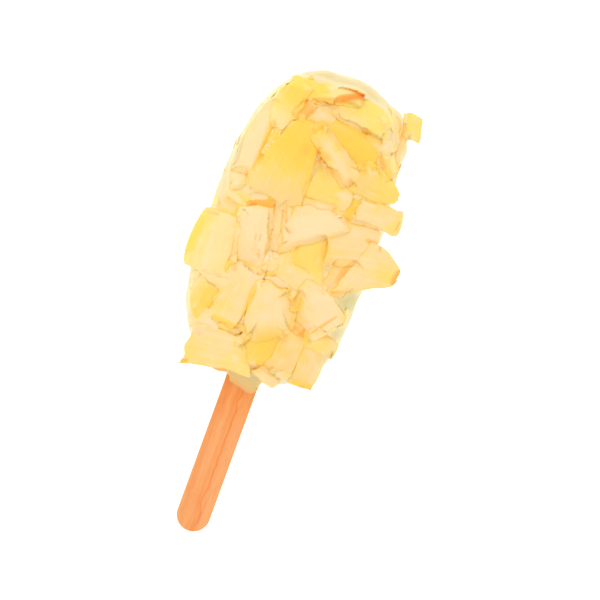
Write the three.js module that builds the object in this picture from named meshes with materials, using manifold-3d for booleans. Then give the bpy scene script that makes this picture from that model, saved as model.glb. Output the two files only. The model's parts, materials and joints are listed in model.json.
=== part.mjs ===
// An ice lolly lying on its back: a bar of ice cream in a pale coating, on a wooden stick, with
// broad thin flakes of coconut stuck all over it. Millimetres, +Z up, the tip towards +Y.
// The bar is a rounded slab whose back has set flat. Its coating runs a little way down the stick,
// which goes deep into it. Each flake is a thin curled plate that comes to rest on the bar and on
// the flakes laid before it, and those under the flat back are pressed level.
import * as THREE from "three";
import { mergeVertices } from "three/addons/utils/BufferGeometryUtils.js";
import Module from "manifold-3d";

const wasm = await Module();
wasm.setup();

// Driving dimensions. Y is measured from where the bare stick begins, X from the stick's middle.
const GAP = 0.3;
const FLAKE = { thick: 0.7, cellsAlong: 4, cellsAcross: 3 };
const STICK = { long: 114, wide: 10, thick: 2, bare: 44, edge: 0.3, arcSteps: 12 };
const BAR = {
  base: 5, middle: 50, tip: 98.5,
  halfWide: 25.6, halfThick: 12, aside: -1.3,
  baseSquareness: { left: 3, right: 3.6 }, tipSquareness: 2.6, edgeSquareness: 3,
  flattened: 0.5, stepsAround: 64, stepsOver: 20,
};
// The coating's collar on the stick: [Y, half width, half thickness], from inside the bar outwards.
const COLLAR = {
  rings: [[10, 12, 7], [7, 9, 4.6], [5.2, 7, 2.9], [3.8, 6, 2.2], [2.4, 5.8, 1.9], [1.2, 5.7, 1.8]],
  squareness: 6, stepsAround: 32,
};

const layer = FLAKE.thick + GAP;
const barMiddle = 2 * layer + BAR.halfThick - BAR.flattened;
const TAU = 2 * Math.PI;
const radians = THREE.MathUtils.degToRad;
const mix = THREE.MathUtils.lerp;

const MATERIALS = {
  coating: new THREE.MeshStandardMaterial({ color: 0xf3e3b4, roughness: 0.45 }),
  wood: new THREE.MeshStandardMaterial({ color: 0xf2b27c, roughness: 0.65 }),
  pale: new THREE.MeshStandardMaterial({ color: 0xf9e0a8, roughness: 0.5 }),
  golden: new THREE.MeshStandardMaterial({ color: 0xfcd25e, roughness: 0.5 }),
  peach: new THREE.MeshStandardMaterial({ color: 0xf8d09a, roughness: 0.5 }),
  skin: new THREE.MeshStandardMaterial({ color: 0xe0863a, roughness: 0.6 }),
};

// The way each face of the bar looks, as the directions across and along it; out is their cross
// product. A flake's place is measured on the face that carries it, from the stick's middle.
const [lean, drop] = [Math.sin(Math.PI / 5), Math.cos(Math.PI / 5)];
const FACES = {
  front: { across: [1, 0, 0], along: [0, 1, 0] },
  back: { across: [-1, 0, 0], along: [0, 1, 0] },
  backLeft: { across: [-drop, 0, lean], along: [0, 1, 0] },
  backRight: { across: [-drop, 0, -lean], along: [0, 1, 0] },
};

// The flakes of each face in the order they are laid. at is the middle, turn the heading in
// degrees from across, wide the widths at the two ends, slant how far an end's left corner leads
// its right one, and bow how far the left and right sides bulge. curl lifts the long sides and
// bend the ends. hold is where along the flake it is stuck, from
// -1 to 1, and pitch and roll tip it further, by degrees, after it has settled.
const FLAKES = {
  back: [
    { at: [-11, 30], turn: 76, long: 20, wide: [11, 9], slant: [2, -2], pressed: true, tone: "pale" },
    { at: [11, 33], turn: 102, long: 19, wide: [10, 13], slant: [-1, 3], pressed: true, tone: "golden" },
    { at: [-11, 62], turn: 95, long: 21, wide: [11, 9], slant: [3, 1], pressed: true, tone: "peach" },
    { at: [12, 63], turn: 80, long: 18, wide: [13, 10], slant: [0, -3], pressed: true, tone: "pale" },
    { at: [1, 48], turn: 15, long: 17, wide: [9, 7], slant: [2, 2], pressed: true, tone: "golden" },
    { at: [-8, 20], turn: 20, long: 15, wide: [8, 10], slant: [1, -2], pressed: true, tone: "peach" },
    { at: [9, 73], turn: -24, long: 16, wide: [9, 7], slant: [-2, 1], pressed: true, tone: "pale" },
    { at: [-11, 75], turn: 40, long: 14, wide: [8, 8], slant: [2, 0], pressed: true, tone: "golden" },
    { at: [10, 22], turn: -35, long: 15, wide: [7, 9], slant: [0, 2], pressed: true, tone: "pale" },
    { at: [0, 88], turn: 5, long: 18, wide: [7, 9], bow: [0.5, 0.5], pressed: true, roll: -12,
      tone: "pale" },
    { at: [1, 8.6], turn: -8, long: 19, wide: [8, 7], bow: [0.5, 0.5], pressed: true, roll: 16,
      tone: "pale" },
  ],
  backLeft: [
    { at: [22, 62], turn: 84, long: 17, wide: [7, 6], curl: -0.5, tone: "pale" },
    { at: [22, 41], turn: 96, long: 15, wide: [6.4, 7], curl: -0.5, tone: "peach" },
    { at: [21, 24], turn: 80, long: 12, wide: [5.4, 6], curl: -0.4, tone: "golden" },
  ],
  backRight: [
    { at: [-19.8, 31], turn: 92, long: 15, wide: [6, 5.6], curl: -0.5, tone: "pale" },
    { at: [-20, 52], turn: 84, long: 14, wide: [7, 8], curl: -0.5, tone: "golden" },
    { at: [-19.2, 73], turn: 99, long: 14, wide: [6, 5.4], curl: -0.4, tone: "peach" },
  ],
  front: [
    // The first flakes lie on the coating.
    { at: [19.8, 83], turn: 92, long: 13.6, wide: [2.8, 3.2], tone: "peach", hold: -0.4 },
    { at: [21.2, 90.2], turn: 107, long: 7.4, wide: [6, 6.6], curl: 0.3, tone: "golden", roll: 4 },
    { at: [2.2, 15.4], turn: 80, long: 11.4, wide: [9.5, 7], curl: -0.5, tone: "golden" },
    { at: [9.6, 15], turn: 82, long: 12, wide: [7, 6.5], curl: -0.4, tone: "peach" },
    { at: [-20, 22], turn: 74, long: 11, wide: [9, 8], curl: -0.7, tone: "golden" },
    { at: [17.2, 13.8], turn: 84, long: 12.5, wide: [7, 7.6], curl: -0.5, tone: "peach", hold: 0.4 },
    { at: [18.6, 21.5], turn: -12, long: 8.5, wide: [5, 4.5], curl: -0.5, tone: "golden" },
    { at: [8.4, 27.4], turn: -52, long: 11, wide: [6, 5], tone: "golden" },
    { at: [16.8, 41.8], turn: 76, long: 9.6, wide: [6.4, 6], tone: "peach" },
    { at: [16.8, 52], turn: 14, long: 14.5, wide: [12, 9], bow: [0.5, 0.5], curl: -0.5, tone: "pale" },
    { at: [5.4, 64.6], turn: -6, long: 12, wide: [8.4, 7.4], bow: [0.6, 0.4], curl: -0.3, tone: "pale" },
    { at: [6.8, 79.2], turn: -10, long: 15, wide: [7.4, 8.6], bow: [0.5, 0.5], curl: -0.5, tone: "golden" },
    { at: [-4.6, 84.6], turn: 4, long: 7.5, wide: [4, 4.4], curl: 0.2, tone: "pale" },
    { at: [16.4, 82.4], turn: 80, long: 6.4, wide: [4, 3.6], curl: -0.3, tone: "pale" },
    { at: [18.6, 76.8], turn: -58, long: 7, wide: [4.4, 4.2], curl: -0.3, tone: "golden" },
    { at: [-19.2, 54.2], turn: -16, long: 6.4, wide: [4.2, 3.6], tone: "golden" },
    { at: [-21.4, 58.2], turn: -66, long: 5, wide: [4.4, 3.4], curl: -0.3, tone: "pale" },
    { at: [6.2, 6.6], turn: -22, long: 7.6, wide: [3.4, 3], curl: -0.3, tone: "pale" },
    { at: [-5.6, 47.6], turn: -71, long: 13.4, wide: [2.4, 2], roll: 10, tone: "pale" },
    { at: [-3, 53.6], turn: -68, long: 7.6, wide: [2, 1.6], roll: -8, tone: "pale" },
    // The next ones lap over them.
    { at: [-9.8, 9.4], turn: 5, long: 18.4, wide: [14.2, 11], slant: [3.4, -3.4], bow: [0.3, -0.8],
      bend: 0.4, tone: "pale", hold: 0.3 },
    { at: [4.4, 42.6], turn: 86, long: 16, wide: [18, 8.6], slant: [2.4, 0], bow: [-0.5, 0],
      bend: 0.4, tone: "golden" },
    { at: [3.6, 58.7], turn: 8, long: 8.6, wide: [3, 2.6], tone: "peach" },
    { at: [-12.2, 53.4], turn: 24, long: 7.6, wide: [3.2, 2.6], tone: "skin" },
    { at: [13, 61.2], turn: 82, long: 6.5, wide: [2.8, 2.6], tone: "skin" },
    { at: [17.8, 70.2], turn: -12, long: 13.4, wide: [9, 3.4], bow: [1, 1], curl: -0.5,
      tone: "golden", pitch: 6 },
    { at: [-11.2, 44.2], turn: 100, long: 16.6, wide: [7, 8], slant: [2, -1], bend: -0.4, tone: "pale" },
    { at: [-22.8, 38.6], turn: 92, long: 17, wide: [14.2, 10.8], bow: [2, 0.6], curl: -1.2,
      tone: "golden", roll: -6 },
    { at: [-21.2, 72.4], turn: 89, long: 22.5, wide: [6, 7], slant: [0, 2.4], bow: [0.6, 0.2],
      curl: -0.5, bend: -0.4, tone: "pale" },
    { at: [-9.6, 84], turn: 62, long: 5.6, wide: [3, 2.6], tone: "peach" },
    { at: [7.4, 88.6], turn: -6, long: 18, wide: [8.6, 7.2], bow: [0.9, 0.4], curl: -0.4,
      tone: "golden", roll: -4 },
    { at: [-5.8, 91.2], turn: 7, long: 21.5, wide: [6.4, 4.6], bow: [0.4, 0.4], curl: -0.3,
      tone: "golden", roll: -6 },
    { at: [-15.2, 84.1], turn: 83, long: 16.2, wide: [5, 10.4], bow: [0.6, 0.6], curl: -0.4,
      tone: "golden" },
    // The top ones show whole.
    { at: [-8.8, 69.2], turn: 82, long: 24, wide: [17.6, 7], bow: [0.6, 0.6], curl: -0.8, bend: -0.4,
      tone: "golden" },
    { at: [5.2, 53], turn: 24, long: 17.5, wide: [12.6, 4], slant: [5.6, -1], bow: [0.8, 0],
      bend: 0.5, tone: "pale" },
    { at: [12.9, 29.2], turn: -29, long: 13.6, wide: [9.2, 10.6], slant: [-5, 1.6], bow: [2, 0],
      bend: 0.4, tone: "pale", pitch: 2 },
    { at: [21.4, 62], turn: 4, long: 13.6, wide: [6.2, 6.2], bend: -0.3, tone: "pale", pitch: 8 },
    { at: [25.6, 46.2], turn: 6, long: 14.6, wide: [17, 5.2], slant: [7, 1.4], bow: [1, 0.2],
      curl: -0.6, tone: "pale", pitch: 2 },
    { at: [3.2, 74.2], turn: -37, long: 17, wide: [5, 5.6], bow: [0.3, 0.3], bend: -0.4, tone: "pale" },
    { at: [-10.4, 26.6], turn: 84, long: 17.6, wide: [7.4, 9], slant: [0, -5], bow: [0.3, 0.3],
      bend: 0.4, tone: "pale" },
    { at: [1.2, 25.2], turn: 104, long: 15.4, wide: [10.6, 8.8], slant: [-3.6, 2.8], bow: [2.2, 1.6],
      curl: -0.5, tone: "pale" },
  ],
};

// Signed power of a sine or cosine, which squares a circle up into a rounded box.
const squared = (value, squareness) => Math.sign(value) * Math.abs(value) ** (2 / squareness);

function closedGeometry(points, triangles) {
  const geometry = new THREE.BufferGeometry();
  geometry.setAttribute("position", new THREE.Float32BufferAttribute(points.flat(), 3));
  geometry.setIndex(triangles.flat());
  return geometry;
}

// A closed skin over rings of equal count, shut by a fan to the point before and after them.
function skinOver(first, rings, last) {
  const count = rings[0].length;
  const points = [first, ...rings.flat(), last];
  const at = (ring, step) => 1 + ring * count + (step % count);
  const triangles = [];
  for (let step = 0; step < count; step++) {
    triangles.push([0, at(0, step + 1), at(0, step)]);
    for (let ring = 0; ring + 1 < rings.length; ring++) {
      triangles.push([at(ring, step), at(ring, step + 1), at(ring + 1, step + 1)]);
      triangles.push([at(ring, step), at(ring + 1, step + 1), at(ring + 1, step)]);
    }
    triangles.push([points.length - 1, at(rings.length - 1, step), at(rings.length - 1, step + 1)]);
  }
  return closedGeometry(points, triangles);
}

// The bar's outline seen from the front, at an angle round its middle: two rounded boxes meet at
// its widest place, the tip's half rounder than the base's and the base rounder on its left.
function barOutline(angle) {
  const towardsTip = Math.sin(angle) >= 0;
  const atBase = Math.cos(angle) < 0 ? BAR.baseSquareness.left : BAR.baseSquareness.right;
  const squareness = towardsTip ? BAR.tipSquareness : atBase;
  const reach = towardsTip ? BAR.tip - BAR.middle : BAR.middle - BAR.base;
  const x = BAR.halfWide * squared(Math.cos(angle), squareness);
  const y = reach * squared(Math.sin(angle), squareness);
  return [x, y];
}

function barGeometry() {
  const level = (rise) => barMiddle + Math.max(rise, BAR.flattened - BAR.halfThick);
  const rings = [];
  for (let k = 1; k < BAR.stepsOver; k++) {
    const over = Math.PI * (k / BAR.stepsOver - 0.5);
    const share = squared(Math.cos(over), BAR.edgeSquareness);
    const z = level(BAR.halfThick * squared(Math.sin(over), BAR.edgeSquareness));
    const ring = [];
    for (let step = 0; step < BAR.stepsAround; step++) {
      const [x, y] = barOutline((TAU * step) / BAR.stepsAround);
      ring.push([BAR.aside + share * x, BAR.middle + share * y, z]);
    }
    rings.push(ring);
  }
  const pole = (rise) => [BAR.aside, BAR.middle, level(rise)];
  return skinOver(pole(-BAR.halfThick), rings, pole(BAR.halfThick));
}

function collarGeometry() {
  const rings = COLLAR.rings.map(([y, halfWide, halfThick]) =>
    Array.from({ length: COLLAR.stepsAround }, (_, step) => {
      const angle = (TAU * step) / COLLAR.stepsAround;
      const x = halfWide * squared(Math.cos(angle), COLLAR.squareness);
      const z = halfThick * squared(Math.sin(angle), COLLAR.squareness);
      return [x, y, barMiddle + z];
    }),
  );
  const end = ([y]) => [0, y, barMiddle];
  return skinOver(end(COLLAR.rings[0]), rings, end(COLLAR.rings.at(-1)));
}

// The stick with half-round ends, grown on every side for the pocket that it sits in.
function stickGeometry(grown = 0) {
  const half = STICK.wide / 2 + grown;
  const reach = STICK.long / 2 - STICK.wide / 2;
  const edge = grown ? 0 : STICK.edge;
  const outline = new THREE.Shape();
  outline.absarc(0, reach, half - edge, 0, Math.PI);
  outline.absarc(0, -reach, half - edge, Math.PI, TAU);
  const depth = STICK.thick + 2 * grown - 2 * edge;
  const geometry = new THREE.ExtrudeGeometry(outline, {
    depth, curveSegments: STICK.arcSteps,
    bevelEnabled: edge > 0, bevelThickness: edge, bevelSize: edge, bevelSegments: 2,
  });
  return geometry.translate(0, 0, -depth / 2);
}

function toSolid(geometry) {
  const bare = geometry.clone();
  bare.deleteAttribute("normal");
  bare.deleteAttribute("uv");
  const merged = mergeVertices(bare, 1e-3);
  return new wasm.Manifold(new wasm.Mesh({
    numProp: 3,
    vertProperties: merged.attributes.position.array,
    triVerts: new Uint32Array(merged.index.array),
  }));
}

function toGeometry(solid) {
  const mesh = solid.getMesh();
  const geometry = new THREE.BufferGeometry();
  geometry.setAttribute("position", new THREE.BufferAttribute(mesh.vertProperties, 3));
  geometry.setIndex(new THREE.BufferAttribute(mesh.triVerts, 1));
  return geometry;
}

// A flake in its own frame, X along it and its underside's middle at the origin: a grid of points
// over the underside, the same again over the top, and a wall round the rim.
function flakeGeometry({ long, wide, slant = [0, 0], bow = [0, 0], curl = 0, bend = 0 }) {
  const { cellsAlong, cellsAcross, thick } = FLAKE;
  const rows = cellsAlong + 1;
  const points = [];
  for (const z of [0, thick]) {
    for (let j = 0; j <= cellsAcross; j++) {
      for (let i = 0; i <= cellsAlong; i++) {
        const p = (2 * i) / cellsAlong - 1;
        const q = (2 * j) / cellsAcross - 1;
        const share = (p + 1) / 2;
        const bulge = q > 0 ? bow[0] : bow[1];
        const halfWide = mix(wide[0], wide[1], share) / 2 + bulge * (1 - p * p);
        const lead = (mix(slant[0], slant[1], share) / 2) * q;
        points.push([(p * long) / 2 + lead, q * halfWide, z + curl * q * q + bend * p * p]);
      }
    }
  }
  const under = (i, j) => j * rows + i;
  const over = (i, j) => points.length / 2 + under(i, j);
  const triangles = [];
  for (let j = 0; j < cellsAcross; j++) {
    for (let i = 0; i < cellsAlong; i++) {
      triangles.push([under(i, j), under(i + 1, j + 1), under(i + 1, j)]);
      triangles.push([under(i, j), under(i, j + 1), under(i + 1, j + 1)]);
      triangles.push([over(i, j), over(i + 1, j), over(i + 1, j + 1)]);
      triangles.push([over(i, j), over(i + 1, j + 1), over(i, j + 1)]);
    }
  }
  const wall = (a, b) => {
    triangles.push([under(...a), under(...b), over(...b)]);
    triangles.push([under(...a), over(...b), over(...a)]);
  };
  for (let i = 0; i < cellsAlong; i++) {
    wall([i, 0], [i + 1, 0]);
    wall([i + 1, cellsAcross], [i, cellsAcross]);
  }
  for (let j = 0; j < cellsAcross; j++) {
    wall([cellsAlong, j], [cellsAlong, j + 1]);
    wall([0, j + 1], [0, j]);
  }
  return closedGeometry(points, triangles);
}

// Points spread over every triangle of a geometry, close enough together for the relief's cells.
const SPACING = 0.35;
function spread(geometry) {
  const { position } = geometry.attributes;
  const corner = (k) => new THREE.Vector3().fromBufferAttribute(position, geometry.index.getX(k));
  const points = [];
  for (let k = 0; k < geometry.index.count; k += 3) {
    const [a, b, c] = [corner(k), corner(k + 1), corner(k + 2)];
    const steps = Math.ceil(Math.max(a.distanceTo(b), b.distanceTo(c), c.distanceTo(a)) / SPACING);
    for (let i = 0; i <= steps; i++) {
      for (let j = 0; i + j <= steps; j++) {
        const point = a.clone().multiplyScalar(1 - (i + j) / steps);
        points.push(point.addScaledVector(b, i / steps).addScaledVector(c, j / steps));
      }
    }
  }
  return points;
}

// How far out everything laid so far reaches, over a grid on one face. Each point also raises the
// cells round it, so that neighbours keep apart.
class Relief {
  static cell = 0.25;
  static half = 120;
  static size = 2 * Math.round(Relief.half / Relief.cell) + 1;

  constructor() {
    this.heights = new Float32Array(Relief.size ** 2).fill(-Infinity);
  }

  index(u, v) {
    const place = (value) => Math.round((value + Relief.half) / Relief.cell);
    return place(v) * Relief.size + place(u);
  }

  raise({ x, y, z }) {
    for (const row of [-Relief.size, 0, Relief.size]) {
      for (const column of [-1, 0, 1]) {
        const k = this.index(x, y) + row + column;
        this.heights[k] = Math.max(this.heights[k], z);
      }
    }
  }

  // How far points must be lifted for all of them to clear the relief.
  clearance(points) {
    const lifts = points.map(({ x, y, z }) => this.heights[this.index(x, y)] + GAP - z);
    return lifts.reduce((most, lift) => Math.max(most, lift), -Infinity);
  }
}

const lolly = new THREE.Group();
const faces = Object.fromEntries(Object.entries(FACES).map(([name, { across, along }]) => {
  const [u, v] = [new THREE.Vector3(...across), new THREE.Vector3(...along)];
  const group = new THREE.Group();
  group.setRotationFromMatrix(new THREE.Matrix4().makeBasis(u, v, u.clone().cross(v)));
  group.updateMatrixWorld();
  lolly.add(group);
  return [name, { group, relief: new Relief(), inverse: group.matrixWorld.clone().invert() }];
}));

function layDown(mesh) {
  mesh.updateWorldMatrix(true, false);
  for (const point of spread(mesh.geometry)) {
    point.applyMatrix4(mesh.matrixWorld);
    for (const { relief, inverse } of Object.values(faces)) {
      relief.raise(point.clone().applyMatrix4(inverse));
    }
  }
}

// The turn, pitch and roll of a flake as one rotation in its face's frame.
function attitude(turn, pitch, roll) {
  const euler = new THREE.Euler(radians(roll), radians(-pitch), radians(turn), "ZYX");
  return new THREE.Quaternion().setFromEuler(euler);
}

// Lets a flake down on its face. The search tips it a few degrees at a time, in smaller and
// smaller steps, as long as the place where it is stuck comes lower.
const FIRST_TIP = 8;
const LAST_TIP = 0.25;
const MOST_TIP = 30;
function settle(geometry, { at, turn, long, hold = 0, pitch = 0, roll = 0, pressed = false }, relief) {
  const points = spread(geometry);
  const pose = (tips) => {
    const rotation = attitude(turn, ...tips);
    const held = new THREE.Vector3((hold * long) / 2, 0, 0).applyQuaternion(rotation);
    const placed = points.map((point) => {
      const p = point.clone().applyQuaternion(rotation);
      return p.set(p.x + at[0], p.y + at[1], p.z);
    });
    const lift = relief.clearance(placed);
    return { tips, rotation, lift, height: lift + held.z };
  };
  let best = pose([0, 0]);
  for (let tip = FIRST_TIP; tip > LAST_TIP && !pressed; tip /= 2) {
    let better = true;
    while (better) {
      better = false;
      for (const [dp, dr] of [[tip, 0], [-tip, 0], [0, tip], [0, -tip]]) {
        const tried = [best.tips[0] + dp, best.tips[1] + dr];
        const next = pose(tried);
        if (next.height < best.height - 1e-4 && Math.max(...tried.map(Math.abs)) <= MOST_TIP) {
          best = next;
          better = true;
        }
      }
    }
  }
  return pose([best.tips[0] + pitch, best.tips[1] + roll]);
}

function makeBar() {
  const pocket = stickGeometry(GAP).translate(0, STICK.long / 2 - STICK.bare, barMiddle);
  const solid = toSolid(barGeometry()).add(toSolid(collarGeometry())).subtract(toSolid(pocket));
  const mesh = new THREE.Mesh(toGeometry(solid), MATERIALS.coating);
  mesh.name = "coated_bar";
  return mesh;
}

function makeStick() {
  const mesh = new THREE.Mesh(stickGeometry(), MATERIALS.wood);
  mesh.name = "stick";
  mesh.position.set(0, STICK.long / 2 - STICK.bare, barMiddle);
  return mesh;
}

const bar = makeBar();
lolly.add(bar, makeStick());
layDown(bar);

for (const [side, flakes] of Object.entries(FLAKES)) {
  const { group, relief } = faces[side];
  flakes.forEach((flake, index) => {
    const mesh = new THREE.Mesh(flakeGeometry(flake), MATERIALS[flake.tone]);
    const { rotation, lift } = settle(mesh.geometry, flake, relief);
    mesh.name = `${side}_flake_${String(index + 1).padStart(2, "0")}`;
    mesh.quaternion.copy(rotation);
    mesh.position.set(...flake.at, lift);
    group.add(mesh);
    layDown(mesh);
  });
}

// The part's origin is the middle of the box round it, on the surface that it lies on.
const bounds = new THREE.Box3().setFromObject(lolly, true);
const middle = bounds.getCenter(new THREE.Vector3());
lolly.position.set(-middle.x, -middle.y, -bounds.min.z);
const part = new THREE.Group();
part.add(lolly);
export default part;
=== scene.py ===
"""An ice lolly lying on its back: a bar in a pale coating, crusted with flakes of coconut, on a
birch stick. Lengths in this script are millimetres in the lolly's own frame: X across from the
stick's middle, Y towards the tip from where the bare stick begins, Z up from the surface that the
lolly lies on. They turn into metres of the shared frame where a mesh is made."""

import json

import bpy
import numpy as np
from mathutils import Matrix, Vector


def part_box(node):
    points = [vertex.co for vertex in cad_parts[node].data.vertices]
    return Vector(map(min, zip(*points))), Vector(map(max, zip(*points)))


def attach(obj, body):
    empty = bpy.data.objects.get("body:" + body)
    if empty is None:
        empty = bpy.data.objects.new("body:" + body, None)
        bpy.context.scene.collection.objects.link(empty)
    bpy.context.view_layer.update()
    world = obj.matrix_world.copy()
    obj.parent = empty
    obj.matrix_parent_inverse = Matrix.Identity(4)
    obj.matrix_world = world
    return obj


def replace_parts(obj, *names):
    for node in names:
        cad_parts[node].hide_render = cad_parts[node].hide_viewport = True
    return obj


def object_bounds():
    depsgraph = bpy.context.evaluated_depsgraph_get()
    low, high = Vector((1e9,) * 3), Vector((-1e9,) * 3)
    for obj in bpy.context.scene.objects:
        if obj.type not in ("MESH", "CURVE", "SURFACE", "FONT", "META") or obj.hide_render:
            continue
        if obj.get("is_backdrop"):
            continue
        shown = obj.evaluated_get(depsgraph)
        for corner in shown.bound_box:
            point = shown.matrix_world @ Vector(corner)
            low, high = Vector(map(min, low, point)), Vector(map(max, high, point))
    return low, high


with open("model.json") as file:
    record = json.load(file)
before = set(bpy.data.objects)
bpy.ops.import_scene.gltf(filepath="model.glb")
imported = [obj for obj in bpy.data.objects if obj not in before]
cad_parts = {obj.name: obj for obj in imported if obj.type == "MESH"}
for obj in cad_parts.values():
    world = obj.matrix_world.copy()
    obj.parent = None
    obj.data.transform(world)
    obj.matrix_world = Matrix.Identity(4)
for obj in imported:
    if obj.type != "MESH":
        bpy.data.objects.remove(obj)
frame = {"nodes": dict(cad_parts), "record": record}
CAD_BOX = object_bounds()

MM = 0.001
STICK_LOW, STICK_HIGH = (np.array(corner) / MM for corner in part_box("stick"))
BARE_STICK = 44.0
START = np.array([(STICK_LOW[0] + STICK_HIGH[0]) / 2, STICK_LOW[1] + BARE_STICK, 0.0])
STICK_Z = (STICK_LOW[2] + STICK_HIGH[2]) / 2

# The bar and its coating, as in the frame.
BASE, MIDDLE, TIP = 5.0, 50.0, 98.5
HALF_WIDE, HALF_THICK, ASIDE = 25.6, 12.0, -1.3
BASE_SQUARENESS_LEFT, BASE_SQUARENESS_RIGHT, TIP_SQUARENESS, EDGE_SQUARENESS = 3.0, 3.6, 2.6, 3.0

# A flake's plate in the frame: its thickness, and how many cells its sides and its ends have.
PLATE, CELLS_ALONG, CELLS_ACROSS = 0.7, 4, 3
# A flake spreads this far past its plate, over the gaps to its neighbours, but not past LIMITS.
GROWN = 0.6
# How much less some flakes of the front spread, by their numbers.
TRIM = {"01": 0.5, "02": 0.4, "05": 0.9, "21": 0.3, "24": 0.3, "25": 0.6, "33": 0.9, "36": 0.3}
# Front flakes whose corners the coating's edge holds in.
TUCKED = ["05", "29", "31", "33"]
LIMITS = [np.array(corner) / MM - START for corner in CAD_BOX]

rng = np.random.default_rng(7)

# How much red, green and blue light each finish throws back.
TONES = {
    "cream": (0.97, 0.71, 0.35),
    "fair": (0.97, 0.73, 0.43),
    "yellow": (0.97, 0.70, 0.15),
    "golden": (0.98, 0.63, 0.065),
    "peach": (0.97, 0.65, 0.26),
    "orange": (0.97, 0.46, 0.05),
    "amber": (0.97, 0.34, 0.02),
    "brown": (0.90, 0.28, 0.02),
    "coating": (0.75, 0.65, 0.36),
    "greenish": (0.66, 0.61, 0.29),
    "film": (0.86, 0.70, 0.36),
    "beige": (0.82, 0.60, 0.27),
    "birch": (0.96, 0.43, 0.16),
    "damp birch": (0.95, 0.35, 0.085),
}
TONES = {name: np.array(tone) for name, tone in TONES.items()}


# ---------------------------------------------------------------- unevenness


def swell(points, wave, count=10):
    """Smooth unevenness from about -1 to 1 over points of two or three coordinates: a sum of
    plane waves in random directions, each about as long as wave."""
    total = 0
    for _ in range(count):
        way = rng.normal(size=points.shape[-1])
        way *= 2 * np.pi / (wave * rng.uniform(0.7, 1.5)) / np.linalg.norm(way)
        total = total + np.sin(points @ way + rng.uniform(0, 2 * np.pi))
    return total / np.sqrt(count)


def ripple(along, wave, count=6):
    """Smooth unevenness from about -1 to 1 along a line: a sum of sines about as long as wave."""
    return swell(along[..., None], wave, count)


def jagged(along, low, high, knots, depth):
    """An uneven line of straight stretches between random heights from 0 to depth."""
    places = np.sort(rng.uniform(low, high, knots))
    places = np.concatenate([[low], places, [high]])
    return np.interp(along, places, rng.uniform(0, depth, knots + 2))


def step_up(value, low, high):
    """Rises smoothly from 0 at low to 1 at high: 3 t^2 - 2 t^3."""
    t = np.clip((value - low) / (high - low), 0, 1)
    return t * t * (3 - 2 * t)


# ---------------------------------------------------------------- meshes


def grid_quads(index):
    """The quads between neighbours of a grid of vertex numbers."""
    corners = (index[:-1, :-1], index[1:, :-1], index[1:, 1:], index[:-1, 1:])
    return np.stack(corners, -1).reshape(-1, 4)


def zip_quads(ring):
    """The faces that close a ring of an even number of vertices straight across, pairing the
    ones at equal steps from its first vertex."""
    half = len(ring) // 2
    near, far = ring[1:half], ring[:half:-1]
    across = np.stack([near[:-1], near[1:], far[1:], far[:-1]], -1)
    ends = np.array([[ring[0], near[0], far[0], far[0]], [near[-1], ring[half], far[-1], far[-1]]])
    return np.concatenate([across, ends])


def turned_over(quads):
    """The same faces looking the other way. A triangle keeps its doubled corner last."""
    return quads[:, [1, 0, 3, 2]]


def lofted(rings):
    """The points and quads of a closed loft over rings of an even count of points, which run
    anticlockwise seen from the first ring's side."""
    points = rings.reshape(-1, 3)
    index = np.arange(len(points)).reshape(rings.shape[:2])
    closed = np.concatenate([index, index[:, :1]], 1)
    last = turned_over(zip_quads(index[-1]))
    return points, np.concatenate([grid_quads(closed), zip_quads(index[0]), last])


def in_scene(name, data):
    """A new object in the scene, to show its data."""
    thing = bpy.data.objects.new(name, data)
    bpy.context.collection.objects.link(thing)
    return thing


def make_piece(name, material, slot, points, quads, tint, uv=None):
    """A mesh object of the points, in millimetres, and the quads, where a quad whose last two
    corners are the same is a triangle. tint is a colour and uv a place in the pattern for each
    point."""
    is_quad = quads[:, 2] != quads[:, 3]
    loops = quads[np.stack([np.ones_like(is_quad)] * 3 + [is_quad], -1)]
    starts = np.concatenate([[0], np.cumsum(3 + is_quad)[:-1]])
    mesh = bpy.data.meshes.new(name)
    mesh.vertices.add(len(points))
    mesh.vertices.foreach_set("co", ((points + START) * MM).astype(np.float32).ravel())
    mesh.loops.add(len(loops))
    mesh.loops.foreach_set("vertex_index", loops.astype(np.int32))
    mesh.polygons.add(len(starts))
    mesh.polygons.foreach_set("loop_start", starts.astype(np.int32))
    mesh.update(calc_edges=True)
    mesh.shade_smooth()
    colours = np.concatenate([tint, np.ones((len(points), 1))], -1)
    layer = mesh.attributes.new("tint", "FLOAT_COLOR", "POINT")
    layer.data.foreach_set("color", colours.astype(np.float32).ravel())
    if uv is not None:
        layer = mesh.uv_layers.new(name="pattern")
        layer.data.foreach_set("uv", uv[loops].astype(np.float32).ravel())
    mesh.materials.append(material)
    piece = in_scene(name, mesh)
    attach(piece, "root")
    return piece


def sewn_sheets(top, bottom, rim):
    """The points and quads of a closed plate: a grid of points over its top, the same under its
    bottom, and between them a rim of the points that rim gives for the two edges in turn."""
    rows, columns = top.shape[:2]
    over = np.arange(rows * columns).reshape(rows, columns)
    under = over + rows * columns
    middle = rim(edge_ring(top), edge_ring(bottom))
    band = np.arange(len(middle)) + 2 * rows * columns
    bands = np.stack([edge_ring(over), band, edge_ring(under)])
    bands = np.concatenate([bands, bands[:, :1]], 1)
    points = np.concatenate([top.reshape(-1, 3), bottom.reshape(-1, 3), middle])
    quads = np.concatenate([grid_quads(over), turned_over(grid_quads(under)), grid_quads(bands)])
    return points, quads


# ---------------------------------------------------------------- colours on the pieces


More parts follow.
